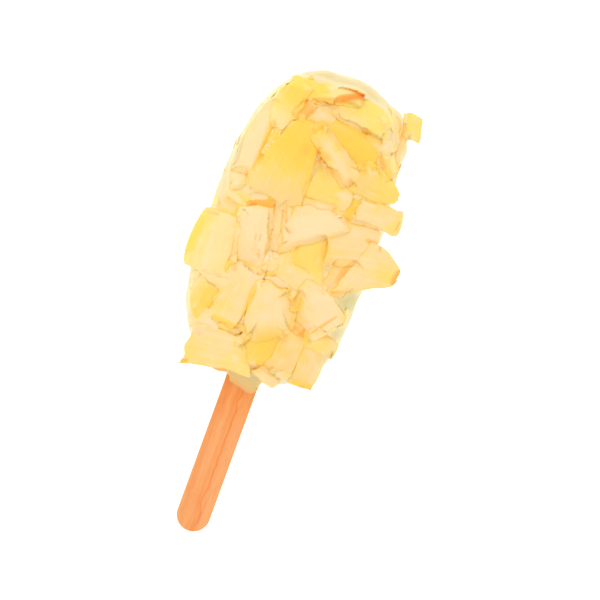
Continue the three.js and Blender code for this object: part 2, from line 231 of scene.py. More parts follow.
def nearness(places, x1, y1, x2, y2, reach):
    """How near places are to a line from one point to another: 1 on it, and away from it by the
    distance d as exp(-(d / reach)^k), where k is 4 for a short reach and 2 for a long one. A line
    of short reach narrows towards both its ends."""
    first, line = np.array([x1, y1]), np.array([x2 - x1, y2 - y1])
    off = places[..., :2] - first
    share = np.clip(off @ line / max(line @ line, 1e-9), 0, 1)
    gap = np.linalg.norm(off - share[..., None] * line, axis=-1)
    if reach >= 2.5:
        return np.exp(-((gap / reach) ** 2))
    if line @ line > 2:
        reach = reach * (0.3 + 0.7 * np.sqrt(1 - (2 * share - 1) ** 4))
    return np.exp(-((gap / reach) ** 4))


def blush(tint, places, marks):
    """Lays marks on a tint. A mark is a tone, the line it lies along, its reach and strength."""
    for tone, *where, strength in marks:
        tint = toned(tint, tone, strength * nearness(places, *where))
    return tint


def crevice_shaded(tint, points, deep):
    """Lays the crevices' painted shade on a tint, ragged, and stronger in nooks of the given depth."""
    aside = np.stack([swell(points, 4) + 0.4 * swell(points, 1.2), swell(points, 4)], -1)
    ragged = points[..., :2] + 0.3 * aside
    shaded = blush(tint, ragged, PAINTED_CREVICE_SHADE)
    return mixed(tint, shaded, 0.4 + 0.6 * step_up(deep, 0, 0.25))


def mixed(tint, other, weight):
    """A tint moved towards another by a weight from 0 to 1."""
    weight = np.clip(weight, 0, 1)[..., None]
    return tint * (1 - weight) + other * weight


def toned(tint, tone, weight):
    """A tint moved towards one of the tones."""
    return mixed(tint, TONES[tone], weight)


# ---------------------------------------------------------------- materials

WHITE = (1.0, 1.0, 1.0)
# How far red, green and blue light spread in coconut and coating, as shares of a depth.
PALE_BLEED = (1.0, 0.7, 0.4)
# A painted glow: an emission on coconut and coating that stands for the light coming through them
# from the other side and lifts their shade.
PAINTED_GLOW_COLOUR, PAINTED_GLOW = (1.0, 0.55, 0.16, 1), 0.055


def feed(node, inputs):
    """Sets a node's inputs, each to a value of its own or to what another node gives."""
    for name, value in inputs.items():
        if isinstance(value, bpy.types.NodeSocket):
            node.id_data.links.new(value, node.inputs[name])
        else:
            node.inputs[name].default_value = value


class Finish:
    """A material worked out by a graph of nodes, which starts from the piece's tint."""

    def __init__(self, name, roughness, gloss, bleed, bleed_colour, bleed_depth, painted_glow):
        """bleed is the share of light that enters and spreads under the surface, bleed_colour how
        far each colour goes, bleed_depth in metres."""
        self.material = bpy.data.materials.new(name)
        self.material.use_nodes = True
        self.nodes = self.material.node_tree.nodes
        feed(self.nodes["Principled BSDF"], {
            "Roughness": roughness, "Specular IOR Level": gloss, "Subsurface Weight": bleed,
            "Subsurface Radius": bleed_colour, "Subsurface Scale": bleed_depth,
            # Its emission is a painted glow.
            "Emission Color": PAINTED_GLOW_COLOUR, "Emission Strength": painted_glow,
        })
        self.tint = self.node("Attribute", {}, attribute_name="tint").outputs["Color"]

    def node(self, kind, inputs, **settings):
        """A new node of the graph."""
        node = self.nodes.new("ShaderNode" + kind)
        for name, value in settings.items():
            setattr(node, name, value)
        feed(node, inputs)
        return node

    def on_object(self):
        """Places on the piece, in metres of the frame, since its object is at the origin."""
        return self.node("TexCoord", {}).outputs["Object"]

    def noise(self, place, scale, detail=3.0, roughness=0.5):
        """Cloudy unevenness from 0 to 1, finer with a larger scale."""
        inputs = {"Vector": place, "Scale": scale, "Detail": detail, "Roughness": roughness}
        return self.node("TexNoise", inputs).outputs["Fac"]

    def stretched(self, place, scale):
        """Places scaled each way. A pattern on them is longest where the scale is smallest."""
        return self.node("Mapping", {"Vector": place, "Scale": scale}).outputs["Vector"]

    def ramp(self, value, stops):
        """A colour ramp over a value, from (position, colour) stops."""
        node = self.node("ValToRGB", {"Fac": value})
        band = node.color_ramp.elements
        while len(band) < len(stops):
            band.new(0.5)
        for element, (position, colour) in zip(band, stops):
            element.position = position
            element.color = (*colour, 1)
        return node.outputs["Color"]

    def darkened(self, colour, by, weight):
        """A colour multiplied by another, as far as the weight says."""
        inputs = {"Factor": weight, "A": colour, "B": by}
        mix = self.node("Mix", inputs, data_type="RGBA", blend_type="MULTIPLY")
        return mix.outputs["Result"]

    def done(self, colour, relief):
        """The material, with its colour and its relief, in layers of (height, strength, depth in
        metres)."""
        normal = {}
        for height, strength, depth in relief:
            inputs = {"Height": height, "Strength": strength, "Distance": depth, **normal}
            normal = {"Normal": self.node("Bump", inputs).outputs["Normal"]}
        feed(self.nodes["Principled BSDF"], {"Base Color": colour, **normal})
        return self.material


def coconut(name, gloss):
    """Coconut flesh: streaked along the flake with fine fibres, and a little mottled."""
    finish = Finish(name, 0.5, gloss, 0.4, PALE_BLEED, 0.0003, PAINTED_GLOW)
    place = finish.node("UVMap", {}, uv_map="pattern").outputs["UV"]
    fibres = finish.noise(finish.stretched(place, (0.25, 2.2, 1)), 9, 4)
    grain = finish.noise(place, 24)
    streaks = finish.ramp(fibres, [(0.3, (1.0, 0.96, 0.84)), (0.62, WHITE)])
    colour = finish.darkened(finish.tint, streaks, 0.5)
    return finish.done(colour, [(fibres, 0.4, 0.00015), (grain, 0.3, 0.00008)])


def coating_finish():
    """The set coating: satin, finely pitted, with faint clouds of colour."""
    finish = Finish("coating", 0.42, 0.4, 0.4, PALE_BLEED, 0.0006, PAINTED_GLOW)
    place = finish.on_object()
    clouds = finish.noise(place, 160)
    pits = finish.noise(place, 900, 4, 0.6)
    lumps = finish.noise(place, 330, 2)
    veil = finish.ramp(clouds, [(0.35, (1.0, 0.96, 0.86)), (0.65, WHITE)])
    colour = finish.darkened(finish.tint, veil, 0.6)
    return finish.done(colour, [(lumps, 0.3, 0.0006), (pits, 0.25, 0.0002)])


# A darker vein runs the length of the stick, this far to the right of its middle, in a band of
# this width, sharp on its right and fading out on its left. It wanders by up to half of its swerve.
VEIN_ASIDE, VEIN_WIDE, VEIN_SWERVE = 1.3, 5.0, 4.0
VEIN_TONES = [
    (0.0, WHITE), (0.42, (1.0, 0.88, 0.74)), (0.5, (0.97, 0.66, 0.46)),
    (0.54, (1.0, 0.93, 0.86)), (0.62, WHITE),
]


def veined(finish, place):
    """Where a point lies from 0 to 1 across the vein's band, which wanders a little sideways."""
    wander = finish.noise(finish.stretched(place, (0, 1, 0)), 110, 3, 0.6)
    across = finish.node("SeparateXYZ", {"Vector": place}).outputs["X"]
    inputs = {0: wander, 1: VEIN_SWERVE * MM, 2: across}
    swerved = finish.node("Math", inputs, operation="MULTIPLY_ADD").outputs["Value"]
    middle = (START[0] + VEIN_ASIDE + VEIN_SWERVE / 2) * MM
    low, high = middle - VEIN_WIDE * MM / 2, middle + VEIN_WIDE * MM / 2
    inputs = {"Value": swerved, "From Min": low, "From Max": high}
    return finish.node("MapRange", inputs).outputs["Result"]


def birch_finish():
    """Birch, sliced: fine pores and long faint streaks along the stick, and its vein."""
    finish = Finish("birch", 0.62, 0.3, 0.2, (1.0, 0.5, 0.2), 0.001, 0.0)
    place = finish.on_object()
    streaks = finish.noise(finish.stretched(place, (1, 0.035, 0.6)), 620, 4, 0.6)
    pores = finish.noise(finish.stretched(place, (1, 0.09, 1)), 2600, 3, 0.6)
    grain = finish.ramp(streaks, [(0.3, (0.93, 0.76, 0.6)), (0.6, WHITE)])
    specks = finish.ramp(pores, [(0.3, (0.9, 0.72, 0.56)), (0.5, WHITE)])
    colour = finish.darkened(finish.tint, grain, 0.8)
    colour = finish.darkened(colour, specks, 0.5)
    colour = finish.darkened(colour, finish.ramp(veined(finish, place), VEIN_TONES), 1.0)
    return finish.done(colour, [(streaks, 0.35, 0.0002), (pores, 0.3, 0.0001)])


# ---------------------------------------------------------------- flakes

# Where the front is riper or paler, over all its flakes, as marks: tone, from x, y to x, y, reach
# and strength. The golden and orange ones in the recess near x 0, y 70 to 74 are painted shade.
ZONES = [
    ("golden", -14, 90, -6, 92, 4, 0.7), ("yellow", 3, 89, 13, 89, 4.5, 0.7),
    ("golden", -12, 72, -5, 75, 8, 0.85), ("yellow", -12, 63, -4, 65, 5, 0.6),
    ("golden", 5, 79, 13, 77, 5.5, 0.9), ("golden", 15, 70, 22, 69, 4, 0.6),
    ("golden", 3, 64, 6, 64, 4, 0.7), ("yellow", -24, 80, -24, 70, 2.5, 0.6),
    ("peach", 12, 52, 20, 54, 5, 0.5), ("golden", 3, 45, 9, 46, 5.5, 0.6),
    ("golden", -29, 32, -28.5, 46, 3, 0.8), ("yellow", 28, 46, 31, 46, 3.5, 0.7),
    ("golden", -22, 20, -17, 24, 4.5, 0.7), ("yellow", -17, 5, -6, 5, 4, 0.6),
    ("golden", 2, 14, 5, 16, 5.5, 0.8), ("yellow", 18, 21, 20, 20, 3.5, 0.7),
    ("golden", 7, 30, 8, 26, 3, 0.6), ("yellow", 26, 62, 27, 62, 2.5, 0.6),
    ("fair", -13, 48, -9, 40, 4.5, 0.6), ("fair", 0, 53, 7, 55, 5, 0.6),
    ("fair", 14, 33, 16, 30, 4.5, 0.6), ("fair", 0, 29, 3, 25, 4.5, 0.5),
    ("fair", 0, 77, 7, 71, 2.4, 0.6), ("fair", -7, 85, -3, 85, 3, 0.6),
    ("fair", 16, 82, 17, 84, 3, 0.6), ("fair", -20, 72, -20, 64, 3, 0.6),
    ("peach", -14, 59, -6, 58, 4, 0.5), ("peach", 8, 16, 17, 12, 5, 0.4),
    ("golden", -5, 72, 3, 74, 5, 0.35), ("golden", -6, 82, 3, 88, 5, 0.35),
    ("fair", -6, 46, -5, 36, 4, 0.5), ("fair", -5, 18, 2, 19, 3, 0.3),
    # The golden mark at the end of this line and the orange one after it are painted shade in a
    # recess.
    ("film", -21, 28, -19, 26, 3, 0.4), ("golden", 0, 73, 0.5, 69.5, 2.6, 0.8),
    ("orange", -0.6, 74.4, 0.2, 70.4, 1.4, 0.4), ("film", -23.5, 50, -22, 64, 3.5, 0.85),
    ("film", -25, 66, -22.5, 84, 2.5, 0.7), ("film", -24.5, 12, -24, 28, 3, 0.75),
    ("film", 21, 11, 22.5, 24, 3, 0.75), ("film", 5, 5.5, 14, 5.5, 2.6, 0.6),
    ("film", -8, 96, 8, 96.5, 2.6, 0.7), ("film", 19, 79, 20.5, 88, 2.5, 0.5),
    ("film", -12, 7, -3, 5.5, 2.5, 0.4),
]

# Painted shade in the front's crevices and on the flakes' edges along them, golden to brown, as marks.
PAINTED_CREVICE_SHADE = [
    ("orange", -17.4, 76.5, -18.2, 62, 0.7, 0.9), ("amber", -2.4, 75, -0.4, 70.6, 0.9, 0.6),
    ("orange", -1, 73, 10, 66.6, 0.55, 0.7), ("brown", -5.3, 80.4, -4.9, 78.8, 0.9, 0.8),
    ("amber", 15.2, 78.6, 17.8, 75.4, 0.7, 0.7), ("amber", 8.6, 84, 11, 84, 0.6, 0.8),
    ("amber", -10.4, 87.2, -9.3, 85, 1.0, 0.8), ("orange", -9.4, 84.6, -12.4, 82.4, 0.6, 0.8),
    ("orange", -11.6, 82, -9.6, 80.6, 0.7, 0.8), ("orange", -8, 86.8, -2, 88.8, 0.6, 0.8),
    ("orange", 12.8, 63.6, 12.3, 58.8, 0.45, 0.8), ("orange", -7.6, 53.4, -6.4, 46, 0.4, 0.7),
    ("orange", -6.4, 46, -4, 41, 0.4, 0.7), ("orange", -5.2, 56, -3.6, 51, 0.4, 0.7),
    ("orange", 20, 54.2, 23, 54, 0.6, 0.8), ("orange", 15.8, 39.4, 18.4, 48, 0.6, 0.8),
    ("orange", 12, 45.6, 16, 44, 0.7, 0.5), ("amber", 1.7, 45, 2.5, 46.8, 0.4, 0.7),
    ("amber", -14, 35.4, -13.2, 32.6, 0.8, 0.7), ("orange", -24, 30.6, -14, 30.2, 0.35, 0.6),
    ("orange", -5.4, 31, -6.4, 20.4, 0.6, 0.9), ("amber", -14, 17.6, -5.4, 17.2, 0.5, 0.8),
    ("orange", -6.4, 20.4, -5.4, 17.6, 0.9, 0.8), ("orange", -5, 33, 4, 32.6, 0.35, 0.5),
    ("orange", 4.6, 31.6, 8, 27, 0.5, 0.5), ("amber", 8.6, 23.6, 12.4, 22.2, 1.0, 0.7),
    ("orange", 3, 10.2, 8.6, 9.6, 0.6, 0.8), ("orange", 1.2, 9, 4, 7, 0.4, 0.6),
    ("golden", -15.6, 74, -7.6, 80.4, 1.0, 0.6), ("golden", 2, 81, 9, 76.4, 1.0, 0.5),
    ("golden", 11, 66.6, 19, 66.4, 0.8, 0.6), ("orange", -20, 54.6, -15.6, 52.4, 0.4, 0.6),
]

# The marks on single flakes of the front, by their numbers: mostly their own tones, but the thin
# golden and orange lines along edges where neighbours lie close, and the orange patch on 08 in
# its recess, are painted shade.
MARKS = {
    "01": [("orange", 19.2, 80, 19.4, 89, 0.5, 0.6)],
    "02": [("orange", 19.4, 87.6, 19.4, 90, 1.0, 0.6), ("yellow", 23.5, 91, 23.5, 91, 2.5, 0.5)],
    "03": [("golden", 3, 14, 4, 16, 6, 0.8)],
    "05": [("golden", -17, 21, -18, 24, 3.5, 0.7)],
    "06": [("golden", 14, 8, 20, 7.8, 1.6, 0.8), ("orange", 16, 7.6, 20, 7.6, 0.5, 0.5)],
    # 08's orange patch is painted shade in the recess it lies in.
    "08": [("orange", 10, 22, 12, 23, 3, 0.5)],
    "09": [("orange", 16.5, 40, 17.8, 47, 1.2, 0.5)],
    "10": [("orange", 20, 54.6, 23.4, 54.2, 0.7, 0.8), ("fair", 14, 54, 18, 56, 3, 0.4)],
    "11": [("yellow", 2, 64, 5, 65, 6, 0.7), ("fair", 9.5, 63.5, 9.5, 65, 2.4, 0.8)],
    "12": [("golden", 5, 79, 12, 77, 8, 0.95)],
    "13": [("fair", -5, 85, -5, 85, 3, 0.8)],
    "14": [("fair", 16, 83, 16, 83, 3, 0.8)],
    "15": [("orange", 15.5, 79, 18, 76, 0.7, 0.5)],
    "18": [("orange", 2, 9.5, 8, 7.5, 0.6, 0.5)],
    "21": [
        ("yellow", -5, 7, 1, 8, 3.4, 0.5), ("yellow", -17.5, 4, -17, 8, 3, 0.6),
        ("orange", -18.6, 2.6, -17.6, 3.2, 0.6, 0.8), ("fair", -4.4, 8.9, -4.2, 8.7, 1, 0.9),
    ],
    "22": [
        ("yellow", 5, 45, 7, 48, 4, 0.9), ("cream", -3, 36, 10, 35, 3.4, 0.7),
        ("orange", 1.6, 44.6, 2.2, 46, 0.5, 0.5),
    ],
    "24": [("orange", -16, 51.6, -7.6, 55.6, 2.4, 0.8), ("brown", -15.4, 52, -13.4, 52.9, 1.1, 0.9)],
    "25": [("golden", 12.4, 59, 12.8, 63.4, 2.6, 0.7)],
    "26": [("yellow", 20, 71, 23, 68.5, 3.4, 0.8), ("peach", 12, 70, 14, 70, 3, 0.7)],
    "27": [
        ("fair", -13, 48, -9, 42, 3.6, 0.6), ("orange", -9.6, 45.6, -9.2, 43.4, 0.35, 0.5),
        ("orange", -8.6, 41.2, -7.8, 38.8, 0.35, 0.5), ("orange", -10.8, 45, -10.6, 43.6, 0.3, 0.5),
    ],
    "28": [
        ("cream", -21, 32, -20, 46, 5, 0.9), ("golden", -29.2, 33, -28.6, 45, 2.4, 0.9),
        ("fair", -22.4, 31, -22.8, 41, 0.8, 0.5), ("orange", -27, 46.4, -23, 46.8, 0.6, 0.4),
    ],
    # 29's golden and orange lines are painted shade in the crevice along its right edge.
    "29": [
        ("fair", -20, 64, -20, 80, 2.4, 0.6), ("golden", -17.8, 61, -17.4, 78, 1.0, 0.9),
        ("orange", -17.4, 63, -17.2, 76, 0.45, 0.6),
    ],
    "30": [("orange", -10, 86, -9, 83, 2.4, 0.8)],
    "31": [
        ("yellow", 2, 91, 12, 90, 4, 0.8), ("cream", 0, 86, 6, 85, 3, 0.6),
        ("orange", 7.6, 84.8, 10.6, 84.6, 0.6, 0.7),
    ],
    "32": [
        ("golden", -14, 91, -8, 91, 3, 0.7), ("cream", -5, 92.6, 2, 93.6, 1.6, 0.7),
        ("amber", 5.8, 94.8, -2.6, 89.8, 1.3, 1.0), ("brown", 3.4, 93.2, 0.4, 91.3, 0.6, 0.6),
        ("orange", -0.8, 90.4, -9, 87.8, 0.7, 0.8),
    ],
    "33": [("golden", -15.5, 90.6, -13.5, 86, 4, 0.9), ("cream", -16, 80, -15, 77, 3, 0.7)],
    "34": [
        ("golden", -10, 74, -6, 74, 10, 1.0), ("peach", -14, 57, -4, 57, 6, 0.8),
        ("orange", -6, 73.4, -5.4, 73, 1.6, 0.25), ("golden", -8, 80, -15.5, 73.6, 1.6, 0.7),
    ],
    "35": [("fair", 1, 50, 8, 56, 4, 0.9)],
    "36": [
        ("golden", 7.4, 32, 8, 28, 1.6, 0.8), ("fair", 13, 33, 17, 34, 3.2, 0.6),
        ("orange", 19.6, 30.6, 14, 23, 0.4, 0.7), ("fair", 21.2, 29.8, 15.4, 22, 0.9, 0.9),
        ("fair", 18.4, 31.2, 12.8, 23.6, 0.7, 0.7),
    ],
    "37": [("yellow", 26, 62, 27.6, 62, 1.6, 0.5), ("orange", 27.3, 60, 27.4, 63, 0.35, 0.6)],
    "38": [
        ("yellow", 30, 47, 31, 47, 3.4, 0.7), ("orange", 33, 49.6, 32.4, 44.4, 1.6, 1.0),
        ("amber", 33.6, 49, 33, 45, 0.7, 0.6),
    ],
    "39": [("fair", 0, 77, 6, 72, 2.6, 0.4)],
    # 40's and 41's golden lines are painted shade in the crevices beside and under 40.
    "40": [("golden", -15, 18, -7.4, 17.4, 1.0, 0.8), ("golden", -6, 20, -6, 31, 0.9, 0.8)],
    "41": [("golden", -6.2, 21, -5.8, 31, 0.8, 0.7), ("golden", 2, 16, 4, 18, 3.4, 0.8)],
}
TONE_OF_SLOT = {
    "flake_pale": "cream", "flake_golden": "yellow", "flake_peach": "peach", "flake_skin": "orange",
}


def front_number(node):
    """The number of a flake of the front. Any other node keeps its name."""
    return node.removeprefix("front_flake_")


def growth(node):
    """How far a flake spreads past its plate. The ones on the sides don't."""
    if node.startswith(("backLeft", "backRight")):
        return 0.0
    return GROWN - TRIM.get(front_number(node), 0)


def frame_solid(name):
    """The corners of a solid of the frame, in millimetres, and its triangles."""
    mesh = frame["nodes"][name].data
    raw = np.empty(3 * len(mesh.vertices), np.float32)
    mesh.vertices.foreach_get("co", raw)
    raw = raw.reshape(-1, 3).astype(float) / MM - START
    same = np.linalg.norm(raw[:, None] - raw, axis=-1) < 0.02
    first, index = np.unique(same.argmax(1), return_inverse=True)
    loops = np.empty(len(mesh.loops), np.int32)
    mesh.loops.foreach_get("vertex_index", loops)
    return raw[first], index[loops].reshape(-1, 3)


def rim_of(triangles):
    """The corners round a sheet of triangles, in order: its edges that only one triangle has."""
    edges = np.concatenate([triangles[:, [0, 1]], triangles[:, [1, 2]], triangles[:, [2, 0]]])
    edges = {tuple(edge) for edge in edges.tolist()}
    after = {b: a for a, b in edges if (b, a) not in edges}
    order = [next(iter(after))]
    while len(order) < len(after):
        order.append(after[order[-1]])
    return np.array(order)


class Plate:
    """Where a flake lies: its underside's middle, the directions along, across and out of it, and
    the curves of its two long sides and two ends in those directions."""

    def __init__(self, middle, out, along, thick):
        self.middle, self.out, self.thick = middle, out, thick
        along = along - along @ out * out
        self.along = along / np.linalg.norm(along)
        self.across = np.cross(out, self.along)

    @classmethod
    def of_frame(cls, name):
        """Reads a plate from its solid. Its out is the direction that most pairs of corners one
        thickness apart share, and its four true corners are where its rim turns most."""
        corners, triangles = frame_solid(name)
        steps = corners - corners[:, None]
        pairs = steps[abs(np.linalg.norm(steps, axis=-1) - PLATE) < 0.01] / PLATE
        out = pairs[((pairs @ pairs.T) > 0.9995).sum(1).argmax()]
        from_bar = (corners.mean(0) - [ASIDE, MIDDLE, STICK_Z]) * (0.2, 0, 1)
        out = out if out @ from_bar > 0 else -out
        above = np.linalg.norm(corners[:, None] + PLATE * out - corners, axis=-1) < 0.05
        under = above.any(1)

        loop = corners[rim_of(triangles[under[triangles].all(1)])]
        before = loop - np.roll(loop, 1, 0)
        after = np.roll(before, -1, 0)
        bend = np.arctan2(np.cross(before, after) @ out, (before * after).sum(1))
        side = CELLS_ALONG + CELLS_ACROSS
        places = np.array([0, CELLS_ALONG, side, side + CELLS_ALONG])
        start = bend[(np.arange(len(loop))[:, None] + places) % len(loop)].sum(1).argmax()
        for turn in (start, start + side):
            at = loop[(turn + np.arange(len(loop) + 1)) % len(loop)]
            near, far = (at[0] + at[side + CELLS_ALONG]) / 2, (at[CELLS_ALONG] + at[side]) / 2
            if (far - near) @ (0.3, 1, 0) > 0:
                break
        plate = cls(corners[under].mean(0), out, far - near, PLATE)
        right, end, left, start = (
            plate.flat(at[i : j + 1])[:, :2] for i, j in zip(places, [*places[1:], len(loop)])
        )
        plate.set_sides(right, end, left[::-1], start[::-1])
        plate.set_bend(plate.flat(corners[under]))
        return plate

    @classmethod
    def on(cls, points, normals, place, turn, long, wide):
        """A small flake's plate that follows the points of a surface round a place, at a turn in
        degrees from across. Its two ends are a little aslant, by chance."""
        near = np.linalg.norm(points - place, axis=-1).argmin()
        around = np.linalg.norm(points - points[near], axis=-1) < 0.35 * (long + wide)
        out = normals[around].mean(0)
        out /= np.linalg.norm(out)
        right = np.cross((0, 1, 0), out)
        right /= np.linalg.norm(right)
        way = np.radians(turn)
        along = np.cos(way) * right + np.sin(way) * np.cross(out, right)
        plate = cls(points[near], out, along, SHAVING_THICK)
        heights = plate.flat(points[around & (normals @ out > 0.3)])
        plate.set_bend(heights)
        plate.bend[0] = np.quantile(heights[:, 2] - plate.rise(*heights[:, :2].T) + plate.bend[0], 0.7)
        lead = rng.uniform(-0.12, 0.12, 4) * wide
        x = np.array([-1, -1, 1, 1]) * long / 2 + lead
        y = np.array([-1, 1, -1, 1]) * wide / 2 * rng.uniform(0.7, 1.1, 4)
        a, b, c, d = np.stack([x, y], -1)
        middle = (a + c) / 2 + [0, -0.05 * wide], (b + d) / 2 + [0, 0.05 * wide]
        plate.set_sides(
            np.stack([a, middle[0], c]), np.stack([c, (c + d) / 2, d]),
            np.stack([b, middle[1], d]), np.stack([a, (a + b) / 2, b]),
        )
        return plate

    def set_sides(self, right, far, left, near):
        """Sides and ends from corners along them, which run to the far end or to the left."""
        self.sides = [self.curve(line) for line in (right, far, left, near)]
        self.long = np.linalg.norm(right[-1] + left[-1] - right[0] - left[0]) / 2
        self.wide = np.linalg.norm(left[[0, -1]] - right[[0, -1]], axis=-1).max()

    def set_bend(self, places):
        """Fits the bend to places by least squares: how much of each power there is in it."""
        x, y = places[:, 0], places[:, 1]
        self.bend = np.linalg.lstsq(self.powers(x, y), places[:, 2], rcond=None)[0]

    @staticmethod
    def curve(line):
        """A parabola through a side's corners, as a function of t from 0 to 1."""
        t = np.linspace(0, 1, len(line))
        factors = np.polyfit(t, line, 2)
        return lambda s: sum(f * s[..., None] ** k for f, k in zip(factors, (2, 1, 0)))

    def flat(self, points):
        """Places along, across and out of the plate."""
        off = points - self.middle
        return np.stack([off @ self.along, off @ self.across, off @ self.out], -1)

    def solid(self, x, y, z):
        """The points that lie so far along, across and out of the plate."""
        places = x[..., None] * self.along + y[..., None] * self.across + z[..., None] * self.out
        return self.middle + places

    @staticmethod
    def powers(x, y):
        """1, x, y, x^2, xy and y^2."""
        return np.stack([np.ones_like(x), x, y, x * x, x * y, y * y], -1)

    def sheet(self, p, q):
        """A Coons patch: for p and q from -1 to 1, the blend of the two long sides plus the blend
        of the two ends, less the blend of the four corners."""
        u, v = (p + 1) / 2, (q + 1) / 2
        right, far, left, near = self.sides
        zero, one = np.zeros(1), np.ones(1)
        u1, v1 = u[..., None], v[..., None]
        lengthways = (1 - v1) * right(u) + v1 * left(u)
        crossways = (1 - u1) * near(v) + u1 * far(v)
        corners = (
            (1 - u1) * ((1 - v1) * near(zero) + v1 * near(one))
            + u1 * ((1 - v1) * far(zero) + v1 * far(one))
        )
        return lengthways + crossways - corners

    def rise(self, x, y):
        """How high the bend stands at x and y: the sum of its powers."""
        return self.powers(x, y) @ self.bend


class Flake:
    """A flake's two skins, worked out on its plate. The patch is read at p and q drawn in at the
    corners, which rounds them, and by an uneven depth at the ends and sides, where the flake has
    torn. The sheet swells a little, its fibres stand up as ridges, and it thins to its edges."""

    # A fold is as wide as the gap and this much more, up to this share of half the flake's width.
    FOLD_WIDE, FOLD_SHARE = 1.6, 0.7
    # Of what stands out past this share of the bar's outline, tucking in leaves so much.
    TUCK_PAST, TUCK_LEAVES = 0.95, 0.15

    def __init__(self, plate, grown=0.0):
        rows = int(np.clip(plate.long / FLAKE_CELL, 8, 90))
        columns = int(np.clip(plate.wide / FLAKE_CELL, 6, 70))
        p, q = np.linspace(-1, 1, rows), np.linspace(-1, 1, columns)
        p, q = np.meshgrid(p, q, indexing="ij")
        half_long, half_wide = plate.long / 2, plate.wide / 2
        depth = np.clip(0.07 * plate.wide, 0.15, 0.5)
        sides = [self.torn(p, half_long, depth) for _ in range(2)]
        ends = [self.torn(q, half_wide, depth) for _ in range(2)]
        corner = rng.uniform(0.1, 0.35)
        in_p = corner / half_long * abs(q) ** 12 + np.where(p > 0, *ends) / half_long * abs(p) ** 6
        in_q = corner / half_wide * abs(p) ** 12 + np.where(q > 0, *sides) / half_wide * abs(q) ** 6
        flat = plate.sheet(p * (1 + grown / half_long - in_p), q * (1 + grown / half_wide - in_q))
        x, y = flat[..., 0], flat[..., 1]
        edge = np.maximum(abs(p) ** 12, abs(q) ** 12)
        thick = plate.thick * (0.66 - 0.34 * edge + 0.05 * swell(flat, 4))
        sway = 0.12 * swell(flat, 9) + 0.04 * swell(flat, 3)
        ridges = 0.02 * ripple(y + 0.05 * swell(flat, 9), 1.1, 8) * (1 - edge)
        low = plate.rise(x, y) + 0.3 * (plate.thick - thick) + sway
        self.plate, self.p, self.q, self.flat = plate, p, q, flat
        self.inside = np.minimum((1 - abs(p)) * half_long, (1 - abs(q)) * half_wide)
        self.top = plate.solid(x, y, low + thick + ridges)
        self.bottom = plate.solid(x, y, low - 0.6 * ridges)
        self.top, self.bottom = (np.clip(skin, *LIMITS) for skin in (self.top, self.bottom))

    def fold_edges(self, laid):
        """Folds its outer part down onto what was laid before it, where that isn't far below."""
        below = Heights(laid.side, 0.0)
        below.field = filled(laid.field, 2)
        gap = laid.side * self.bottom[..., 2] - below.at(self.bottom)
        gap = np.where(np.isfinite(gap), gap, 0)
        gap = np.clip(gap - 0.05, 0, TOO_DEEP)
        wide = np.minimum(self.FOLD_WIDE + gap, self.FOLD_SHARE * self.plate.wide / 2)
        fold = gap * bridged(gap) * (1 - step_up(self.inside / wide, 0, 1))
        for skin in (self.top, self.bottom):
            skin[..., 2] -= laid.side * fold

    def tuck_in(self):
        """Draws what stands out past the bar's outline most of the way back over it."""
        for skin in (self.top, self.bottom):
            x, y = skin[..., 0] - ASIDE, skin[..., 1] - MIDDLE
            share = outline_share(x, y)
            kept = self.TUCK_PAST + self.TUCK_LEAVES * (share - self.TUCK_PAST)
            drawn = np.where(share > self.TUCK_PAST, kept / share, 1)
            skin[..., 0], skin[..., 1] = ASIDE + x * drawn, MIDDLE + y * drawn

    @staticmethod
    def torn(along, half, depth):
        """How far an edge has torn away, in straight nicks with a little fuzz."""
        at = along * half
        knots = int(half / 1.6) + 1
        nicks = jagged(at, -half, half, knots, depth) - depth / 2
        return nicks + 0.5 * depth * ripple(at, 7) + 0.04 * ripple(at, 0.9)

    def rim(self, above, below):
        """Halfway between the two edges, a little further out."""
        middle = (above + below) / 2
        away = middle - self.top.mean((0, 1))
        middle = middle + 0.05 * away / np.linalg.norm(away, axis=-1, keepdims=True)
        return np.clip(middle, *LIMITS)

    def tint(self, tone, zones, nook):
        """Its colour: its tone and the zones' that it lies in, riper at one end, patchy and
        streaked along, more golden along stretches of its edges, and with painted shade in nooks."""
        tint = np.broadcast_to(TONES[tone], (*self.p.shape, 3))
        ripe = self.p * rng.choice([-1, 1])
        tint = toned(tint, "yellow", 0.15 + 0.2 * ripe + 0.2 * swell(self.flat, 8))
        tint = blush(tint, self.top + 1.2 * swell(self.flat, 6)[..., None], zones)
        streak = self.flat[..., 1] + 0.2 * swell(self.flat, 8)
        pale = 0.1 + 0.2 * ripple(streak, 2.4, 8) + 0.25 * swell(self.flat, 5)
        tint = toned(tint, "fair", pale)
        edge = np.maximum(abs(self.p) ** 16, abs(self.q) ** 10)
        tint = toned(tint, "golden", edge * (0.3 + 0.4 * swell(self.flat, 7)))
        # Painted shade: golden in shallow nooks, orange in deeper ones.
        tint = toned(tint, "golden", 0.8 * step_up(nook, 0.05, 0.6))
        return toned(tint, "orange", 0.4 * step_up(nook, 0.7, 1.6))


# A gap below a flake is bridged less and less from the first of these depths to the second.
DEEP, TOO_DEEP = 3, 6


def bridged(gap):
    """How much of a gap is bridged, from 1 down to 0."""
    return 1 - step_up(gap, DEEP, TOO_DEEP)


def outline_shape(x, y):
    """The squareness and the reach of the bar's outline on the side of its middle that x and y
    point to."""
    at_base = np.where(x < 0, BASE_SQUARENESS_LEFT, BASE_SQUARENESS_RIGHT)
    return np.where(y >= 0, TIP_SQUARENESS, at_base), np.where(y >= 0, TIP - MIDDLE, MIDDLE - BASE)


